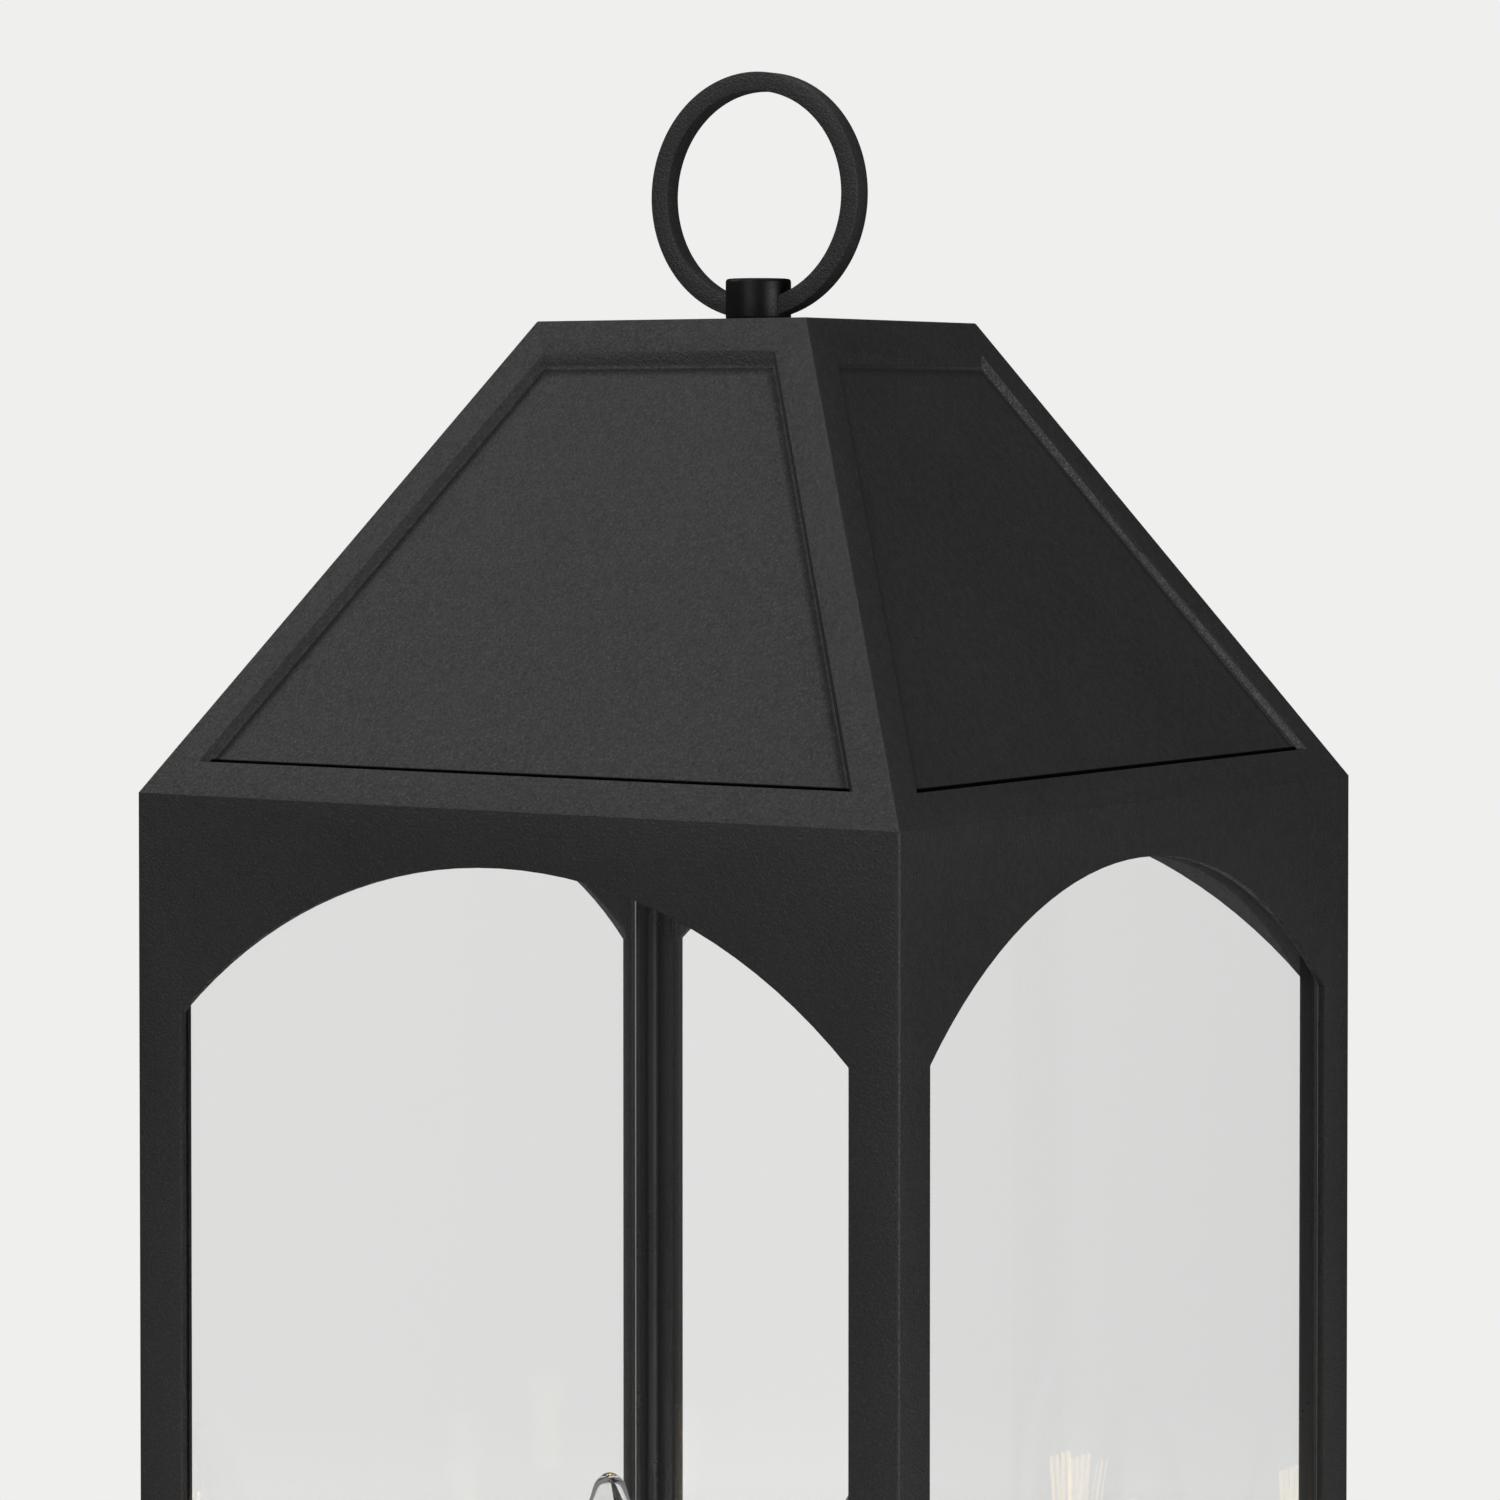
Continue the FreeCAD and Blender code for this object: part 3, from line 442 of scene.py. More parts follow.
finishes = {
    "powder_coat": powderCoat(
        "blackPowderCoat", (0.0132, 0.0124, 0.0127), (0.0195, 0.0183, 0.0187), 0.42, 0.70, 0.55),
    "inner_black": satinBlack("innerSatinBlack", (0.0085, 0.0080, 0.0082), 0.24, 0.38, 0.08),
    "clear_glass": clearGlass("windowGlass", (0.996, 1.0, 0.998), 1.5, 26.0, 0.006, 0.93),
    "lamp_glass": clearGlass("lampGlass", (1.0, 1.0, 1.0), 1.47, 60.0, 0.015, 0.85),
    "press_glass": clearGlass("pressGlass", (0.97, 0.98, 0.98), 1.5, 90.0, 0.05, 0.7),
    "filament": warmFilament(),
    "lamp_shell": platedMetal("nickelShell", (0.66, 0.64, 0.60), 0.18, 0.34),
    "lamp_insulator": mouldedPlastic("glossInsulator", (0.012, 0.012, 0.014), 0.12, 0.25),
    "sleeve_white": mouldedPlastic("candleWhite", (0.78, 0.76, 0.70), 0.34, 0.46, 0.12),
    "socket_black": mouldedPlastic("socketPhenolic", (0.016, 0.015, 0.015), 0.25, 0.42),
    "socket_brass": platedMetal("socketBrass", (0.72, 0.54, 0.24), 0.22, 0.38),
    "zinc": platedMetal("zincPlate", (0.55, 0.56, 0.57), 0.28, 0.46),
    "rubber": rubberSkin("blackRubber", (0.014, 0.014, 0.014)),
    "silicone": rubberSkin("greySilicone", (0.30, 0.31, 0.31)),
    "ground_green": platedMetal("groundGreen", (0.06, 0.30, 0.10), 0.3, 0.5),
    "bushing_black": mouldedPlastic("bushingNylon", (0.02, 0.02, 0.02), 0.4, 0.55),
}
turnedBlack = powderCoat(
    "turnedBossBlack", (0.0045, 0.0042, 0.0043), (0.006, 0.0057, 0.0058), 0.34, 0.5, 0.10, 1900.0, 0.1, 0.2)
glowingEdgeFinish = groundEdge()
floorMesh.materials.append(paleFloorMaterial())
slotOf = {row["node"]: row["material_slot"] for row in frame["record"]["subparts"]}
print("finishes made", len(finishes))


def finishPiece(piece, body, slotName, *replaced):
    piece.data.materials.clear()
    piece.data.materials.append(finishes[slotName])
    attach(piece, body)
    if replaced:
        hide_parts(*replaced)
    return piece


def pieceFromBuild(name, build, smoothAngle=35.0):
    mesh = bpy.data.meshes.new(name)
    bmesh.ops.recalc_face_normals(build, faces=build.faces)
    sharp = math.radians(smoothAngle)
    for edge in build.edges:
        edge.smooth = len(edge.link_faces) == 2 and edge.calc_face_angle(0.0) < sharp
    for face in build.faces:
        face.smooth = True
    build.to_mesh(mesh)
    build.free()
    piece = bpy.data.objects.new(name, mesh)
    scene.collection.objects.link(piece)
    return piece


def sharpEdges(build, degrees):
    limit = math.radians(degrees)
    return [e for e in build.edges if len(e.link_faces) == 2 and e.calc_face_angle(0.0) > limit]


def easeEdges(build, picked, reach, rounds, profile=0.6):
    bmesh.ops.bevel(build, geom=picked, offset=reach, segments=rounds, profile=profile,
                    affect="EDGES", clamp_overlap=True)


def mergedCopy(nodeName):  # a CAD node's mesh with its doubles merged and its flats whole
    build = bmesh.new()
    build.from_mesh(nodes[nodeName].data)
    bmesh.ops.remove_doubles(build, verts=build.verts, dist=1e-6)
    bmesh.ops.dissolve_limit(build, angle_limit=math.radians(0.4), verts=build.verts, edges=build.edges)
    return build


def softCopy(nodeName, pieceName, edgeRadius, rounds):
    build = mergedCopy(nodeName)
    if edgeRadius:
        easeEdges(build, sharpEdges(build, 30.0), edgeRadius, rounds)
    return pieceFromBuild(pieceName, build)


def turned(build, outline, steps, centre, loop=False):  # turns an outline of (radius, height) about an upright line
    rings = []
    for radius, height in outline:
        if radius < 1e-7:
            rings.append([build.verts.new((centre.x, centre.y, height))])
            continue
        ring = []
        for step in range(steps):
            angle = 2 * math.pi * step / steps
            ring.append(build.verts.new(
                (centre.x + radius * math.cos(angle), centre.y + radius * math.sin(angle), height)))
        rings.append(ring)
    pairs = list(zip(rings, rings[1:])) + ([(rings[-1], rings[0])] if loop else [])
    for lower, upper in pairs:
        if len(lower) == len(upper) == 1:
            continue
        for step in range(steps):
            after = (step + 1) % steps
            if len(lower) == 1:
                build.faces.new((lower[0], upper[step], upper[after]))
            elif len(upper) == 1:
                build.faces.new((lower[step], lower[after], upper[0]))
            else:
                build.faces.new((lower[step], lower[after], upper[after], upper[step]))
    return build


def eased2d(points, radius, steps=3, closed=False):  # rounds the corners of an outline, its ends apart
    result = []
    count = len(points)
    for index, point in enumerate(points):
        if not closed and index in (0, count - 1):
            result.append(point)
            continue
        here, before, after = (Vector(points[i % count]) for i in (index, index - 1, index + 1))
        reach = min(radius, (before - here).length * 0.45, (after - here).length * 0.45)
        start = here + (before - here).normalized() * reach
        end = here + (after - here).normalized() * reach
        for step in range(steps + 1):
            t = step / steps
            result.append(tuple(start.lerp(here, t).lerp(here.lerp(end, t), t)))
    return result


def flowing(points, perSpan):  # a smooth line through outline points
    result = []
    for index in range(len(points) - 1):
        before = Vector(points[max(index - 1, 0)])
        start, end = Vector(points[index]), Vector(points[index + 1])
        after = Vector(points[min(index + 2, len(points) - 1)])
        for step in range(perSpan):
            t = step / perSpan
            squared = (2 * before - 5 * start + 4 * end - after) * t * t
            cubed = (3 * start - before - 3 * end + after) * t ** 3
            result.append(tuple(0.5 * (2 * start + (end - before) * t + squared + cubed)))
    result.append(tuple(points[-1]))
    return result


def startTree(name, sizes, seeded=False):  # a Geometry Nodes tree with named sizes
    tree = bpy.data.node_groups.new(name, "GeometryNodeTree")
    tree.interface.new_socket("Geometry", in_out="OUTPUT", socket_type="NodeSocketGeometry")
    if seeded:
        tree.interface.new_socket("Seed Mesh", in_out="INPUT", socket_type="NodeSocketGeometry")
    kinds = {int: "NodeSocketInt", float: "NodeSocketFloat", tuple: "NodeSocketVector"}
    for label, value in sizes.items():
        socket = tree.interface.new_socket(label, in_out="INPUT", socket_type=kinds[type(value)])
        socket.default_value = value
    tree.interface.new_socket("Finish", in_out="INPUT", socket_type="NodeSocketMaterial")
    return tree, tree.nodes.new("NodeGroupInput").outputs


def addNode(tree, kind, options=None, **feeds):  # adds a node, sets its options and feeds its inputs
    node = tree.nodes.new(kind)
    for option, value in (options or {}).items():
        setattr(node, option, value)
    for label, feed in feeds.items():
        socket = node.inputs[label.replace("_", " ")]
        if isinstance(feed, bpy.types.NodeSocket):
            tree.links.new(feed, socket)
        else:
            socket.default_value = feed
    return node.outputs[0]


def closeTree(tree, given, geometry):  # every tree ends the same way
    whole = addNode(tree, "GeometryNodeRealizeInstances", Geometry=geometry)
    painted = addNode(tree, "GeometryNodeSetMaterial", Geometry=whole, Material=given["Finish"])
    tree.links.new(painted, tree.nodes.new("NodeGroupOutput").inputs[0])
    return tree


def grownPiece(name, tree, sizes, body, slotName, *replaced, seed=None, ease=0.0):
    holder = bpy.data.objects.new(name, seed or bpy.data.meshes.new(name))
    scene.collection.objects.link(holder)
    modifier = holder.modifiers.new(tree.name, "NODES")
    modifier.node_group = tree
    for item in tree.interface.items_tree:
        if item.item_type == "SOCKET" and item.in_out == "INPUT" and item.name in sizes:
            modifier[item.identifier] = sizes[item.name]
        if item.item_type == "SOCKET" and item.name == "Finish":
            modifier[item.identifier] = finishes[slotName]
    grown = bpy.data.meshes.new_from_object(holder.evaluated_get(bpy.context.evaluated_depsgraph_get()))
    bpy.data.objects.remove(holder)
    build = bmesh.new()
    build.from_mesh(grown)
    if ease:
        easeEdges(build, sharpEdges(build, 40.0), ease, 2)
    return finishPiece(pieceFromBuild(name, build), body, slotName, *replaced)


def turnedPiece(name, outline, steps, centre, body, slotName, nodeName, smoothAngle=35.0, loop=False):
    build = turned(bmesh.new(), outline, steps, centre, loop)
    return finishPiece(pieceFromBuild(name, build, smoothAngle), body, slotName, nodeName)


eased = {
    "base_casting": ("castBase", "frame", 0.0006, 3),
    "top_ring": ("topRing", "frame", 0.0002, 1),
    "cross_bar": ("crossBar", "frame", 0.0003, 2),
    "mounting_plate": ("mountingPlate", "frame", 0.0003, 1),
    "base_gasket": ("baseGasket", "frame", 0.0003, 2),
    "side_screws": ("sideScrews", "frame", 0.0004, 2),
    "cross_bar_screws": ("barScrews", "frame", 0.0003, 2),
    "centre_stud": ("centreStud", "frame", 0.0003, 2),
    "stud_nuts": ("studNuts", "frame", 0.0003, 1),
    "cluster_nipple": ("clusterNipple", "frame", 0.0002, 1),
    "nipple_nut": ("nippleNut", "frame", 0.0003, 1),
    "wire_bushing": ("wireBushing", "frame", 0.0002, 1),
    "ground_screw": ("groundScrew", "frame", 0.0002, 1),
    "socket_shells": ("socketShells", "frame", 0.0, 1),
    "socket_contacts": ("socketContacts", "frame", 0.0, 1),
    "glass_pads": ("glassPads", "frame", 0.0001, 1),
    "boss_washer": ("bossWasher", "finial", 0.0, 1),
}
for nodeName, (pieceName, body, radius, rounds) in eased.items():
    piece = softCopy(nodeName, pieceName, radius, rounds)
    finishPiece(piece, body, slotOf[nodeName], nodeName)
print("castings and screws eased")

castRoof = {
    "crest": 0.00105,  # ease where the border turns down
    "root": 0.0007,  # and where it meets the sunk panel
    "rim": 0.0005,  # hips, eave and flat top
    "rounds": 3,
    "crestDepths": (-0.0002, 0.0004),
    "rootDepths": (0.0018, 0.0027),
    "clear": 0.004,  # kept between the panels and the hips, the eave and the flat top
    "lipClear": 0.006,  # the lower lip lies higher than this over the eave
    "smallestPanel": 0.003,
    "paintedShadeBands": ((0.0006, 0.35), (0.0018, 0.0)),  # width and painted-shade strength, from the panel's foot inwards
    # cut heights over the lower lip's crest, and how high the painted shade line behind it reaches on the front and
    # back and on the sides
    "lipCuts": (0.0009, 0.0013, 0.0017),
    "frontShadeLine": 0.0013,
    "sideShadeLine": 0.0009,
}
roof = mergedCopy("roof_shell")
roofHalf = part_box("roof_shell")[1].x
topHalf = max(abs(v.co.x) for v in roof.verts if v.co.z > roofTopZ - 1e-5)
run = math.hypot(roofHalf - topHalf, roofTopZ - eaveZ)
upShare, outShare = (roofHalf - topHalf) / run, (roofTopZ - eaveZ) / run


def underSlope(point):  # how far a point lies under the slope it belongs to
    out = max(abs(point.x), abs(point.y))
    return (roofHalf - out) * outShare - (point.z - eaveZ) * upShare


def byRecess(point, low, high):  # on a sunk panel's walls, between two depths
    clear = castRoof["clear"]
    return (low < underSlope(point) < high and eaveZ + clear < point.z < roofTopZ - clear
            and abs(abs(point.x) - abs(point.y)) > clear)


for depths, reach in ((castRoof["crestDepths"], castRoof["crest"]), (castRoof["rootDepths"], castRoof["root"])):
    picked = [e for e in sharpEdges(roof, 30) if all(byRecess(v.co, *depths) for v in e.verts)]
    print("roof edges eased", len(picked))
    easeEdges(roof, picked, reach, castRoof["rounds"], 0.5)
picked = [e for e in sharpEdges(roof, 42)
          if not any(0.0001 < underSlope(v.co) < 0.003 and v.co.z > eaveZ + castRoof["clear"] for v in e.verts)]
easeEdges(roof, picked, castRoof["rim"], 2)
broad = [f for f in roof.faces if f.calc_area() > castRoof["smallestPanel"]]
panelDepth = max(depth for depth in (underSlope(f.calc_center_median()) for f in broad) if 0.001 < depth < 0.003)
panels = [f for f in broad if abs(underSlope(f.calc_center_median()) - panelDepth) < 1e-4]
shade = roof.verts.layers.float.new("shade")
for vert in {v for f in panels for v in f.verts}:
    vert[shade] = castRoof["paintedShadeBands"][0][1]
for width, value in castRoof["paintedShadeBands"]:  # painted shade: darker, duller bands along the panels' foot, standing in for the shade the recess walls cast
    bmesh.ops.inset_individual(roof, faces=panels, thickness=width, use_even_offset=True)
    for vert in {v for f in panels for v in f.verts}:
        vert[shade] = value
lipZ = min(v.co.z for v in roof.verts
           if abs(underSlope(v.co)) < 5e-5 and v.co.z > eaveZ + castRoof["lipClear"])


def sunkFaces():
    return [f for f in roof.faces if abs(underSlope(f.calc_center_median()) - panelDepth) < 2e-4]


for rise in castRoof["lipCuts"]:  # painted shade: a dark line on the panel behind the lower lip, up to just over its crest, standing in for the shadowed gap there
    sunk = sunkFaces()
    around = list({e for f in sunk for e in f.edges}) + list({v for f in sunk for v in f.verts})
    bmesh.ops.bisect_plane(roof, geom=sunk + around, plane_co=(0, 0, lipZ + rise), plane_no=(0, 0, 1))
# painted shade at full strength below the line; the line reaches higher on the front and back than on the sides
for vert in {v for f in sunkFaces() for v in f.verts}:
    rise = castRoof["frontShadeLine" if abs(vert.co.y) > abs(vert.co.x) else "sideShadeLine"]
    if vert.co.z < lipZ + rise + 1e-5:
        vert[shade] = 1.0
print("sunk panels shaded", len(panels))
finishPiece(pieceFromBuild("castRoof", roof, 30.0), "roof", "powder_coat", "roof_shell")
print("roof cast")

archFrame = {"windowEase": 0.00045, "rounds": 2, "paneEase": 0.0004, "stripEase": 0.0003}


def onMitreOrRim(edge, low, high):  # these edges butt against the next frame, the roof or the base
    points = [v.co for v in edge.verts]
    mitre = all(abs(abs(p.x) - abs(p.y)) < 1e-4 for p in points)
    return mitre or all(p.z > high.z - 1e-5 for p in points) or all(p.z < low.z + 1e-5 for p in points)


for side in ("front", "right", "back", "left"):
    nodeName = side + "_arch_frame"
    build = mergedCopy(nodeName)
    low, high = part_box(nodeName)
    picked = [e for e in sharpEdges(build, 30) if not onMitreOrRim(e, low, high)]
    easeEdges(build, picked, archFrame["windowEase"], archFrame["rounds"])
    finishPiece(pieceFromBuild(side + "Frame", build), "frame", "powder_coat", nodeName)
    pane = softCopy(side + "_glass", side + "Pane", archFrame["paneEase"], 1)
    finishPiece(pane, "frame", "clear_glass", side + "_glass")
    # the pane's edge faces take the painted glow
    pane.data.materials.append(glowingEdgeFinish)
    across = 1 if side in ("front", "back") else 0
    for face in pane.data.polygons:  # every face but the two broad ones
        face.material_index = 0 if abs(face.normal[across]) > 0.9 else 1
    strips = softCopy(side + "_glass_strips", side + "Strips", archFrame["stripEase"], 2)
    finishPiece(strips, "frame", "inner_black", side + "_glass_strips")
unlitPanes = bpy.data.collections.new("unlitPanes")  # no studio lamp shows as a white patch in a flat pane
for index, side in enumerate(("front", "right", "back", "left")):
    unlitPanes.objects.link(bpy.data.objects[side + "Pane"])
    unlitPanes.collection_objects[index].light_linking.link_state = "EXCLUDE"
for lamp in [thing for thing in scene.objects if thing.type == "LIGHT"]:
    lamp.light_linking.receiver_collection = unlitPanes
print("arched frames, panes and strips eased")

sweptTree, given = startTree("sweptBand", {
    "Band Radius": 0.03, "Band Width": 0.005, "Band Depth": 0.006, "Edge Round": 0.0005,
    "From Angle": 0.0, "Sweep": 6.0, "Steps": 96, "Centre": (0.0, 0.0, 0.0)})
path = addNode(sweptTree, "GeometryNodeCurveArc", {"mode": "RADIUS"}, Resolution=given["Steps"],
               Radius=given["Band Radius"], Start_Angle=given["From Angle"], Sweep_Angle=given["Sweep"])
path = addNode(sweptTree, "GeometryNodeSetCurveNormal", {"mode": "Z_UP"}, Curve=path)
section = addNode(sweptTree, "GeometryNodeCurvePrimitiveQuadrilateral",
                  Width=given["Band Width"], Height=given["Band Depth"])
section = addNode(sweptTree, "GeometryNodeFilletCurve", {"mode": "POLY"},
                  Curve=section, Radius=given["Edge Round"], Count=3)
band = addNode(sweptTree, "GeometryNodeCurveToMesh", Curve=path, Profile_Curve=section, Fill_Caps=True)
band = addNode(sweptTree, "GeometryNodeTransform",
               Geometry=band, Translation=given["Centre"], Rotation=(math.pi / 2, 0, 0))
closeTree(sweptTree, given, band)

ringNut = {"bandWidth": 0.0056, "edgeRound": 0.00035, "coreRadius": 0.0062, "steps": 128, "rimRound": 0.0011,
           "threadBore": 0.0033, "boreEnd": 0.003}
ringLow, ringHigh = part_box("ring_loop")
outerRadius = ringHigh.x
ringMiddle = outerRadius - ringNut["bandWidth"] / 2
gapAngle = math.asin(ringNut["coreRadius"] / ringMiddle)
grownPiece("ringBand", sweptTree, {
    "Band Radius": ringMiddle, "Band Width": ringNut["bandWidth"], "Band Depth": ringHigh.y - ringLow.y,
    "Edge Round": ringNut["edgeRound"], "From Angle": -math.pi / 2 + gapAngle, "Sweep": 2 * (math.pi - gapAngle),
    "Steps": ringNut["steps"], "Centre": (0.0, 0.0, ringHigh.z - outerRadius)}, "finial", "powder_coat", "ring_loop")

bossLow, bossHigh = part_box("ring_boss")
bossStart = (ringNut["threadBore"], bossLow.z)
bossOutline = [bossStart, (bossHigh.x, bossLow.z), (bossHigh.x, bossHigh.z), (0.0, bossHigh.z)]
bossOutline = [bossStart] + eased2d(bossOutline, ringNut["rimRound"], 4)[1:]
bossOutline += [(0.0, bossHigh.z - ringNut["boreEnd"]), (ringNut["threadBore"], bossHigh.z - ringNut["boreEnd"])]
axis = Vector((0, 0))
boss = turnedPiece("turnedBoss", bossOutline, 72, axis, "finial", "powder_coat", "ring_boss", 40.0, loop=True)
boss.data.materials[0] = turnedBlack
print("ring and boss made")

postsTree, given = startTree("cornerPosts", {
    "Post Radius": 0.002, "Post Height": 0.3, "Sides": 32, "Spread": 0.238, "Middle Height": 0.2})
post = addNode(postsTree, "GeometryNodeMeshCylinder",
               Vertices=given["Sides"], Radius=given["Post Radius"], Depth=given["Post Height"])
grid = addNode(postsTree, "GeometryNodeMeshGrid",
               Size_X=given["Spread"], Size_Y=given["Spread"], Vertices_X=2, Vertices_Y=2)
posts = addNode(postsTree, "GeometryNodeInstanceOnPoints", Points=grid, Instance=post)
raised = addNode(postsTree, "ShaderNodeCombineXYZ", Z=given["Middle Height"])
posts = addNode(postsTree, "GeometryNodeTransform", Geometry=posts, Translation=raised)
closeTree(postsTree, given, posts)

tieRods = {"radius": 0.0023, "sides": 40, "nutFlats": 0.008, "ease": 0.0003}
rodLow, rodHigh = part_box("corner_rods")
rodSpread = 2 * (rodHigh.x - tieRods["radius"])
grownPiece("tieRods", postsTree, {
    "Post Radius": tieRods["radius"], "Post Height": rodHigh.z - rodLow.z, "Sides": tieRods["sides"],
    "Spread": rodSpread, "Middle Height": (rodHigh.z + rodLow.z) / 2},
    "frame", "inner_black", "corner_rods", ease=tieRods["ease"])
for nodeName, pieceName in (("rod_top_nuts", "rodTopNuts"), ("rod_foot_nuts", "rodFootNuts")):
    nutLow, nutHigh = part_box(nodeName)
    grownPiece(pieceName, postsTree, {
        "Post Radius": tieRods["nutFlats"] / math.sqrt(3), "Post Height": nutHigh.z - nutLow.z, "Sides": 6,
        "Spread": rodSpread, "Middle Height": (nutHigh.z + nutLow.z) / 2},
        "frame", slotOf[nodeName], nodeName, ease=tieRods["ease"])
print("tie rods and nuts made")

aroundTree, given = startTree("copiesAround", {"Count": 3, "First Angle": 0.0, "Step Angle": 2.0}, seeded=True)
line = addNode(aroundTree, "GeometryNodeMeshLine", Count=given["Count"], Offset=(0, 0, 0))
index = addNode(aroundTree, "GeometryNodeInputIndex")
turnedBy = mathNode(aroundTree, "MULTIPLY", index, given["Step Angle"])
angle = mathNode(aroundTree, "ADD", turnedBy, given["First Angle"])
spin = addNode(aroundTree, "ShaderNodeCombineXYZ", Z=angle)
copies = addNode(aroundTree, "GeometryNodeInstanceOnPoints",
                 Points=line, Instance=given["Seed Mesh"], Rotation=spin)
closeTree(aroundTree, given, copies)


def lampTrio(pieceName, outline, nodeName, steps):  # one turned part at each lamp
    build = bmesh.new()
    turned(build, outline, steps, Vector((lampCircle, 0)), loop=True)
    seed = bpy.data.meshes.new(pieceName + "Seed")
    bmesh.ops.recalc_face_normals(build, faces=build.faces)
    build.to_mesh(seed)
    build.free()
    return grownPiece(pieceName, aroundTree, trioSizes, "frame", slotOf[nodeName], nodeName, seed=seed)


lampMiddle = middle("bulb_shell_1")
lampCircle = math.hypot(lampMiddle.x, lampMiddle.y)
trioSizes = {"Count": 3, "First Angle": math.atan2(lampMiddle.y, lampMiddle.x), "Step Angle": 2 * math.pi / 3}

candle = {
    "sleeveRadius": 0.011,
    "sleeveWall": 0.001,
    "lip": 0.00035,
    "cupRadius": 0.0136,
    "cupFoot": 0.008,
    "cupWaist": 0.0012,  # how far the foot draws in
    "cupBead": 0.0006,  # how far the rim stands out
    "cupGap": 0.00015,
    "cupEase": 0.0008,
    "socketRadius": 0.0095,
    "socketCollar": 0.0007,
    "socketBore": 0.0067,
    "socketFloor": 0.0015,
    "stemRadius": 0.0039,
    "stemBore": 0.003,
}
sleeveLow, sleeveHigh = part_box("candle_sleeves")
outside, inside = candle["sleeveRadius"], candle["sleeveRadius"] - candle["sleeveWall"]
sleeveSide = [(inside, sleeveLow.z), (outside, sleeveLow.z), (outside, sleeveHigh.z), (inside, sleeveHigh.z)]
lampTrio("candleSleeves", eased2d(sleeveSide, candle["lip"], 3, closed=True), "candle_sleeves", 64)

cupLow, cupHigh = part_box("candle_cups")
cupSeat = sleeveLow.z
cupBore = candle["sleeveRadius"] + candle["cupGap"]
stem, foot, rim = candle["stemRadius"], candle["cupFoot"], candle["cupRadius"]
cupSide = [
    (stem, cupLow.z), (foot, cupLow.z), (foot - candle["cupWaist"], cupLow.z + 0.0035), (foot, cupSeat - 0.006),
    (rim - candle["cupBead"], cupSeat - 0.0015), (rim - candle["cupBead"], cupHigh.z - 0.0022),
    (rim, cupHigh.z - 0.0016), (rim, cupHigh.z), (cupBore, cupHigh.z), (cupBore, cupSeat), (stem, cupSeat)]
lampTrio("candleCups", eased2d(cupSide, candle["cupEase"], 3, closed=True), "candle_cups", 64)

socketLow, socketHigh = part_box("lamp_sockets")
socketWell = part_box("socket_contacts")[0].z
wellFoot = socketWell - candle["socketFloor"]
outside, collar = candle["socketRadius"], candle["socketRadius"] - candle["socketCollar"]
socketSide = [
    (stem, socketLow.z), (outside - 0.001, socketLow.z), (outside, socketLow.z + 0.003),
    (outside, socketHigh.z - 0.006), (collar, socketHigh.z - 0.005), (collar, socketHigh.z),
    (candle["socketBore"], socketHigh.z), (candle["socketBore"], socketWell), (0.0, socketWell), (0.0, wellFoot),
    (stem, wellFoot)]
lampTrio("lampSockets", socketSide, "lamp_sockets", 48)

stemLow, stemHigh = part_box("socket_stems")
stemSide = [(candle["stemBore"], stemLow.z), (stem, stemLow.z), (stem, stemHigh.z), (candle["stemBore"], stemHigh.z)]
lampTrio("socketStems", stemSide, "socket_stems", 32)
print("candle sleeves, cups and sockets made")

hub = {
    "radius": 0.017,
    "height": 0.015,
    "crown": 0.009,
    "bore": 0.0051,
    "groove": 0.0008,  # how far the band between the two beads lies in
    "ease": 0.0009,
    "steps": 72,
}
hubLow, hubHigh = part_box("cluster_hub")
shoulder = hubLow.z + hub["height"]
outside, waist = hub["radius"], hub["radius"] - hub["groove"]
hubSide = [
    (hub["bore"], hubLow.z), (outside, hubLow.z), (outside, hubLow.z + 0.0025), (waist, hubLow.z + 0.0031),
    (waist, shoulder - 0.0018), (outside, shoulder - 0.001), (outside - 0.0005, shoulder),
    (hub["crown"], hubHigh.z), (hub["bore"], hubHigh.z)]
hubSide = eased2d(hubSide, hub["ease"], 3, closed=True)
turnedPiece("clusterHub", hubSide, hub["steps"], axis, "frame", "inner_black", "cluster_hub", loop=True)

knob = {
    "radius": 0.0086,
    "foot": 0.78,  # share of the radius
    "neck": (0.62, 0.0008),  # share of the radius, and how high it sits
    "outline": ((0.70, 0.14), (0.98, 0.34), (0.86, 0.62), (0.42, 0.88)),  # shares of radius and height
    "perSpan": 8,
    "steps": 64,
}
knobLow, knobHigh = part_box("hub_knob")
tall = knobHigh.z - knobLow.z
knobSide = [(knob["radius"] * knob["neck"][0], knobLow.z + knob["neck"][1])]
knobSide += [(knob["radius"] * share, knobLow.z + up * tall) for share, up in knob["outline"]]
knobSide = flowing(knobSide + [(0.0, knobHigh.z)], knob["perSpan"])
knobFoot = [(0.0, knobLow.z), (knob["radius"] * knob["foot"], knobLow.z)]
turnedPiece("hubKnob", knobFoot + knobSide, knob["steps"], axis, "frame", "inner_black", "hub_knob", 45.0)

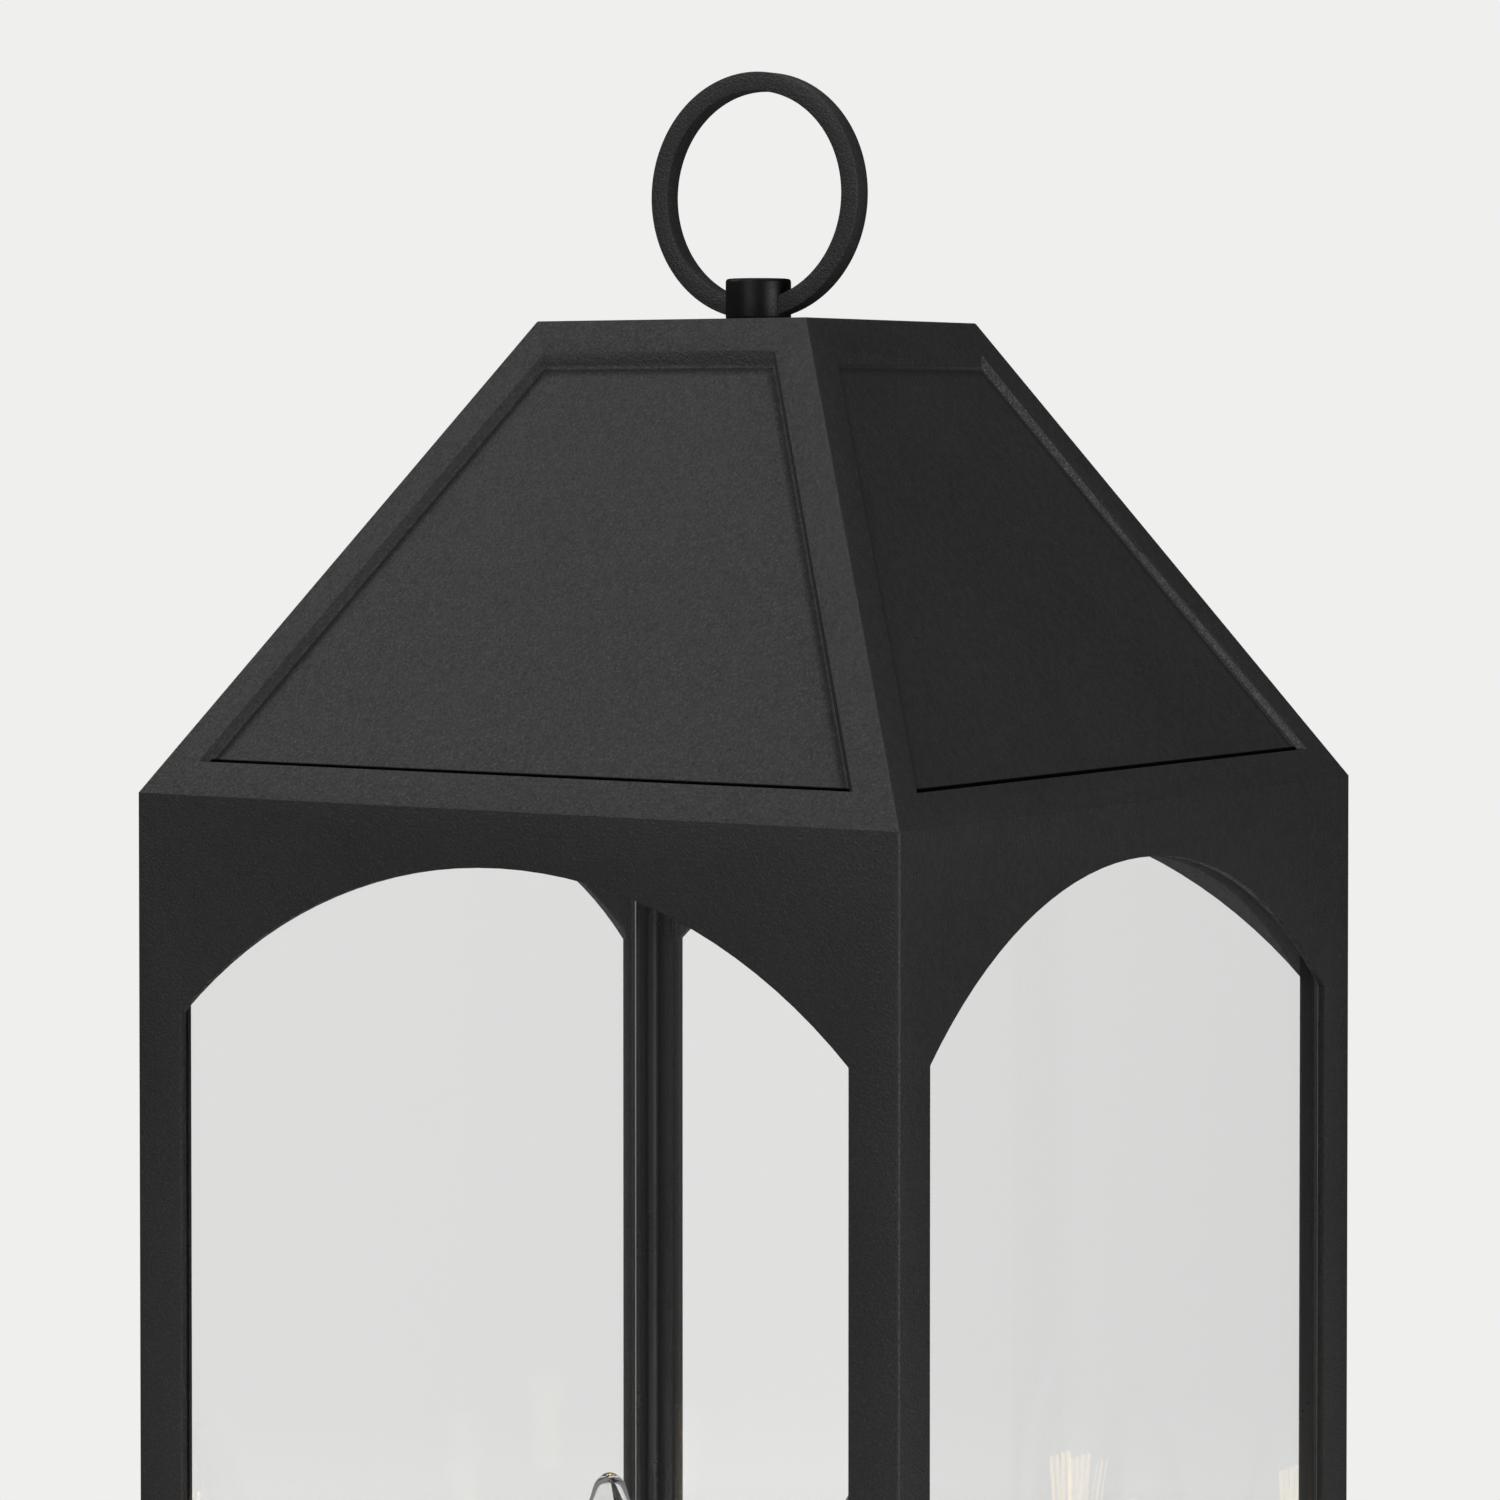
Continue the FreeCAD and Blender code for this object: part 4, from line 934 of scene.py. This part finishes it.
arm = {
    "radius": 0.0042,
    "sides": 36,
    "rootStations": ((-0.004, 1.0), (0.001, 1.0), (0.0025, 0.86)),  # from the hub's side, and thickness
    "thinStation": (0.024, 0.82),
    "headStations": ((-0.0115, 0.84), (-0.0098, 1.0), (-0.006, 1.0)),  # from the lamp's middle, and thickness
}
armLow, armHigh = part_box("cluster_arms")
armMiddle = (armLow.z + armHigh.z) / 2
armStations = [(hub["radius"] + ahead, share) for ahead, share in arm["rootStations"]]
armStations.append(arm["thinStation"])
armStations += [(lampCircle + ahead, share) for ahead, share in arm["headStations"]]
build = bmesh.new()  # one arm lies along +X and is copied round
armRings = []
for place, share in armStations:
    ring = []
    for k in range(arm["sides"]):
        around = 2 * math.pi * k / arm["sides"]
        ring.append(build.verts.new((
            place, arm["radius"] * share * math.cos(around), armMiddle + arm["radius"] * share * math.sin(around))))
    armRings.append(ring)
for first, second in zip(armRings, armRings[1:]):
    for k in range(arm["sides"]):
        after = (k + 1) % arm["sides"]
        build.faces.new((first[k], second[k], second[after], first[after]))
build.faces.new(armRings[0])
build.faces.new(armRings[-1])
bmesh.ops.recalc_face_normals(build, faces=build.faces)
armSeed = bpy.data.meshes.new("armSeed")
build.to_mesh(armSeed)
build.free()
grownPiece("clusterArms", aroundTree, trioSizes, "frame", "inner_black", "cluster_arms", seed=armSeed)
print("lamp cluster made")

threadTree, given = startTree("screwThread", {
    "Turns": 5.0, "Crest Radius": 0.0055, "Rise": 0.011, "Bead Radius": 0.0004, "Steps": 30, "Foot": (0.0, 0.0, 0.0)})
path = addNode(threadTree, "GeometryNodeCurveSpiral", Resolution=given["Steps"], Rotations=given["Turns"],
               Start_Radius=given["Crest Radius"], End_Radius=given["Crest Radius"], Height=given["Rise"])
section = addNode(threadTree, "GeometryNodeCurvePrimitiveCircle", Resolution=8, Radius=given["Bead Radius"])
bead = addNode(threadTree, "GeometryNodeCurveToMesh", Curve=path, Profile_Curve=section, Fill_Caps=True)
bead = addNode(threadTree, "GeometryNodeTransform", Geometry=bead, Translation=given["Foot"])
closeTree(threadTree, given, bead)

filamentTree, given = startTree("filamentSpray", {
    "Sticks": 4, "Stick Foot": (0.0, 0.0, 0.0), "Stick Head": (0.0, 0.0, 0.03), "Wire Root": (0.0, 0.0, 0.0),
    "Stick Radius": 0.0007, "Wire Radius": 0.0003, "Centre": (0.0, 0.0, 0.0)})
stickPath = addNode(filamentTree, "GeometryNodeCurvePrimitiveLine",
                    Start=given["Stick Foot"], End=given["Stick Head"])
wirePath = addNode(filamentTree, "GeometryNodeCurvePrimitiveLine",
                   Start=given["Wire Root"], End=given["Stick Foot"])
parts = addNode(filamentTree, "GeometryNodeJoinGeometry")
joined = filamentTree.nodes[-1]
for pathLine, radius, sides in ((stickPath, "Stick Radius", 12), (wirePath, "Wire Radius", 8)):
    section = addNode(filamentTree, "GeometryNodeCurvePrimitiveCircle", Resolution=sides, Radius=given[radius])
    rod = addNode(filamentTree, "GeometryNodeCurveToMesh",
                  Curve=pathLine, Profile_Curve=section, Fill_Caps=True)
    filamentTree.links.new(rod, joined.inputs[0])
line = addNode(filamentTree, "GeometryNodeMeshLine", Count=given["Sticks"], Offset=(0, 0, 0))
index = addNode(filamentTree, "GeometryNodeInputIndex")
quarters = mathNode(filamentTree, "MULTIPLY", index, math.pi / 2)
angle = mathNode(filamentTree, "ADD", quarters, math.pi / 4)
spin = addNode(filamentTree, "ShaderNodeCombineXYZ", Z=angle)
sticks = addNode(filamentTree, "GeometryNodeInstanceOnPoints", Points=line, Instance=parts, Rotation=spin)
sticks = addNode(filamentTree, "GeometryNodeTransform", Geometry=sticks, Translation=given["Centre"])
closeTree(filamentTree, given, sticks)

lampGlass = {
    "wall": 0.0009,
    "neck": 0.0063,
    "flare": (1.08, 0.03),  # shares of the neck's radius and of the height
    "belly": ((0.72, 0.12), (0.93, 0.22), (0.995, 0.36), (0.93, 0.52), (0.775, 0.68), (0.56, 0.81)),
    "cap": (0.0062, 0.0085),  # radius, and how far under the tip
    "tip": ((0.0044, 0.0032), (0.0022, 0.0008), (0.0, 0.0)),
    "tipGlass": 0.0022,
    "tipHollow": (0.0030, 0.0014),
    "steps": 72,
    "perSpan": 9,
}
lampShell = {
    "bore": 0.0049,
    "radius": 0.0054,
    "rim": 0.0058,
    "rimFoot": 0.0016,
    "rimStart": 0.0008,
    "lid": 0.0005,
    "steps": 40,
    "threadFoot": 0.0012,
}
threadSizes = {"Turns": 5.0, "Crest Radius": 0.0054, "Rise": 0.0105, "Bead Radius": 0.00042}
filament = {
    "foot": 0.0032,
    "head": 0.0056,
    "rise": 0.0065,
    "wireRise": 0.004,
    "length": 0.034,
    "stick": 0.00075,
    "wire": 0.0003,
}
press = {
    "foot": (0.0051, 0.0001),  # radius and height over its foot
    "outline": ((0.0051, 0.0004), (0.0047, 0.0011), (0.0024, 0.0020), (0.0018, 0.0029)),
    "tip": (0.0014, 0.0002),
    "perSpan": 5,
    "steps": 36,
}
contact = {
    "button": ((0.0, 0.0), (0.0012, 0.0001), (0.0020, 0.0007), (0.0026, 0.0014)),  # radius and height over its foot
    "collar": ((0.0048, 0.0006), (0.0053, 0.0)),  # radius, and how far under its top
    "perSpan": 4,
    "steps": 32,
}
for k in (1, 2, 3):
    body = "bulb_" + str(k)
    glassName, shellName = "bulb_glass_" + str(k), "bulb_shell_" + str(k)
    low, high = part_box(glassName)
    centre = middle(shellName)
    tall = high.z - low.z
    wide = (high.x - low.x) / 2
    outline = [(lampGlass["neck"], 0.0), (lampGlass["neck"] * lampGlass["flare"][0], lampGlass["flare"][1] * tall)]
    outline += [(share * wide, up * tall) for share, up in lampGlass["belly"]]
    outline.append((lampGlass["cap"][0], tall - lampGlass["cap"][1]))
    hollowTip = tall - lampGlass["tipGlass"]
    hollow = [(radius - lampGlass["wall"], up) for radius, up in outline]
    hollow += [(lampGlass["tipHollow"][0], hollowTip - lampGlass["tipHollow"][1]), (0.0, hollowTip)]
    outline += [(radius, tall - under) for radius, under in lampGlass["tip"]]
    build = bmesh.new()
    for skin in (flowing(outline, lampGlass["perSpan"]), flowing(hollow, lampGlass["perSpan"])[::-1]):
        turned(build, [(max(radius, 0.0), low.z + up) for radius, up in skin], lampGlass["steps"], centre)
    rims = [e for e in build.edges if len(e.link_faces) == 1]
    bmesh.ops.bridge_loops(build, edges=rims)
    finishPiece(pieceFromBuild("lampGlass" + str(k), build, 60.0), body, "lamp_glass", glassName)

    shellLow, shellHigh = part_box(shellName)
    bore, radius, rim = lampShell["bore"], lampShell["radius"], lampShell["rim"]
    lidFoot = shellHigh.z - lampShell["lid"]
    shellSide = [
        (bore, shellLow.z), (radius, shellLow.z), (radius, shellHigh.z - lampShell["rimFoot"]),
        (rim, shellHigh.z - lampShell["rimStart"]), (rim, shellHigh.z), (0.0, shellHigh.z),
        (0.0, lidFoot), (bore, lidFoot)]
    turnedPiece("lampShell" + str(k), shellSide, lampShell["steps"], centre, body, "lamp_shell", shellName, loop=True)
    threadFoot = (centre.x, centre.y, shellLow.z + lampShell["threadFoot"])
    grownPiece("lampThread" + str(k), threadTree, {**threadSizes, "Foot": threadFoot}, body, "lamp_shell")

    stickFoot = low.z + filament["rise"]
    grownPiece("lampFilaments" + str(k), filamentTree, {
        "Sticks": 4, "Stick Foot": (filament["foot"], 0.0, stickFoot),
        "Stick Head": (filament["head"], 0.0, stickFoot + filament["length"]),
        "Wire Root": (0.0, 0.0, low.z + filament["wireRise"]), "Stick Radius": filament["stick"],
        "Wire Radius": filament["wire"], "Centre": (centre.x, centre.y, 0.0)},
        body, "filament", "bulb_filaments_" + str(k))

    stemName, contactName = "bulb_stem_" + str(k), "bulb_contact_" + str(k)
    stemLow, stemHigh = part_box(stemName)
    pressSide = [(radius, stemLow.z + up) for radius, up in press["outline"]]
    pressSide += [(press["tip"][0], stemHigh.z - press["tip"][1]), (0.0, stemHigh.z)]
    footRadius, footRise = press["foot"]
    pressFoot = [(0.0, stemLow.z + footRise), (footRadius, stemLow.z + footRise)]
    pressSide = pressFoot + flowing(pressSide, press["perSpan"])
    turnedPiece("lampPress" + str(k), pressSide, press["steps"], centre, body, "press_glass", stemName, 50.0)

    contactLow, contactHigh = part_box(contactName)
    contactSide = [(radius, contactLow.z + up) for radius, up in contact["button"]]
    contactSide += [(radius, contactHigh.z - under) for radius, under in contact["collar"]]
    contactSide = flowing(contactSide, contact["perSpan"]) + [(0.0, contactHigh.z)]
    turnedPiece(
        "lampContact" + str(k), contactSide, contact["steps"], centre, body, "lamp_insulator", contactName, 50.0)
print("lamps made")
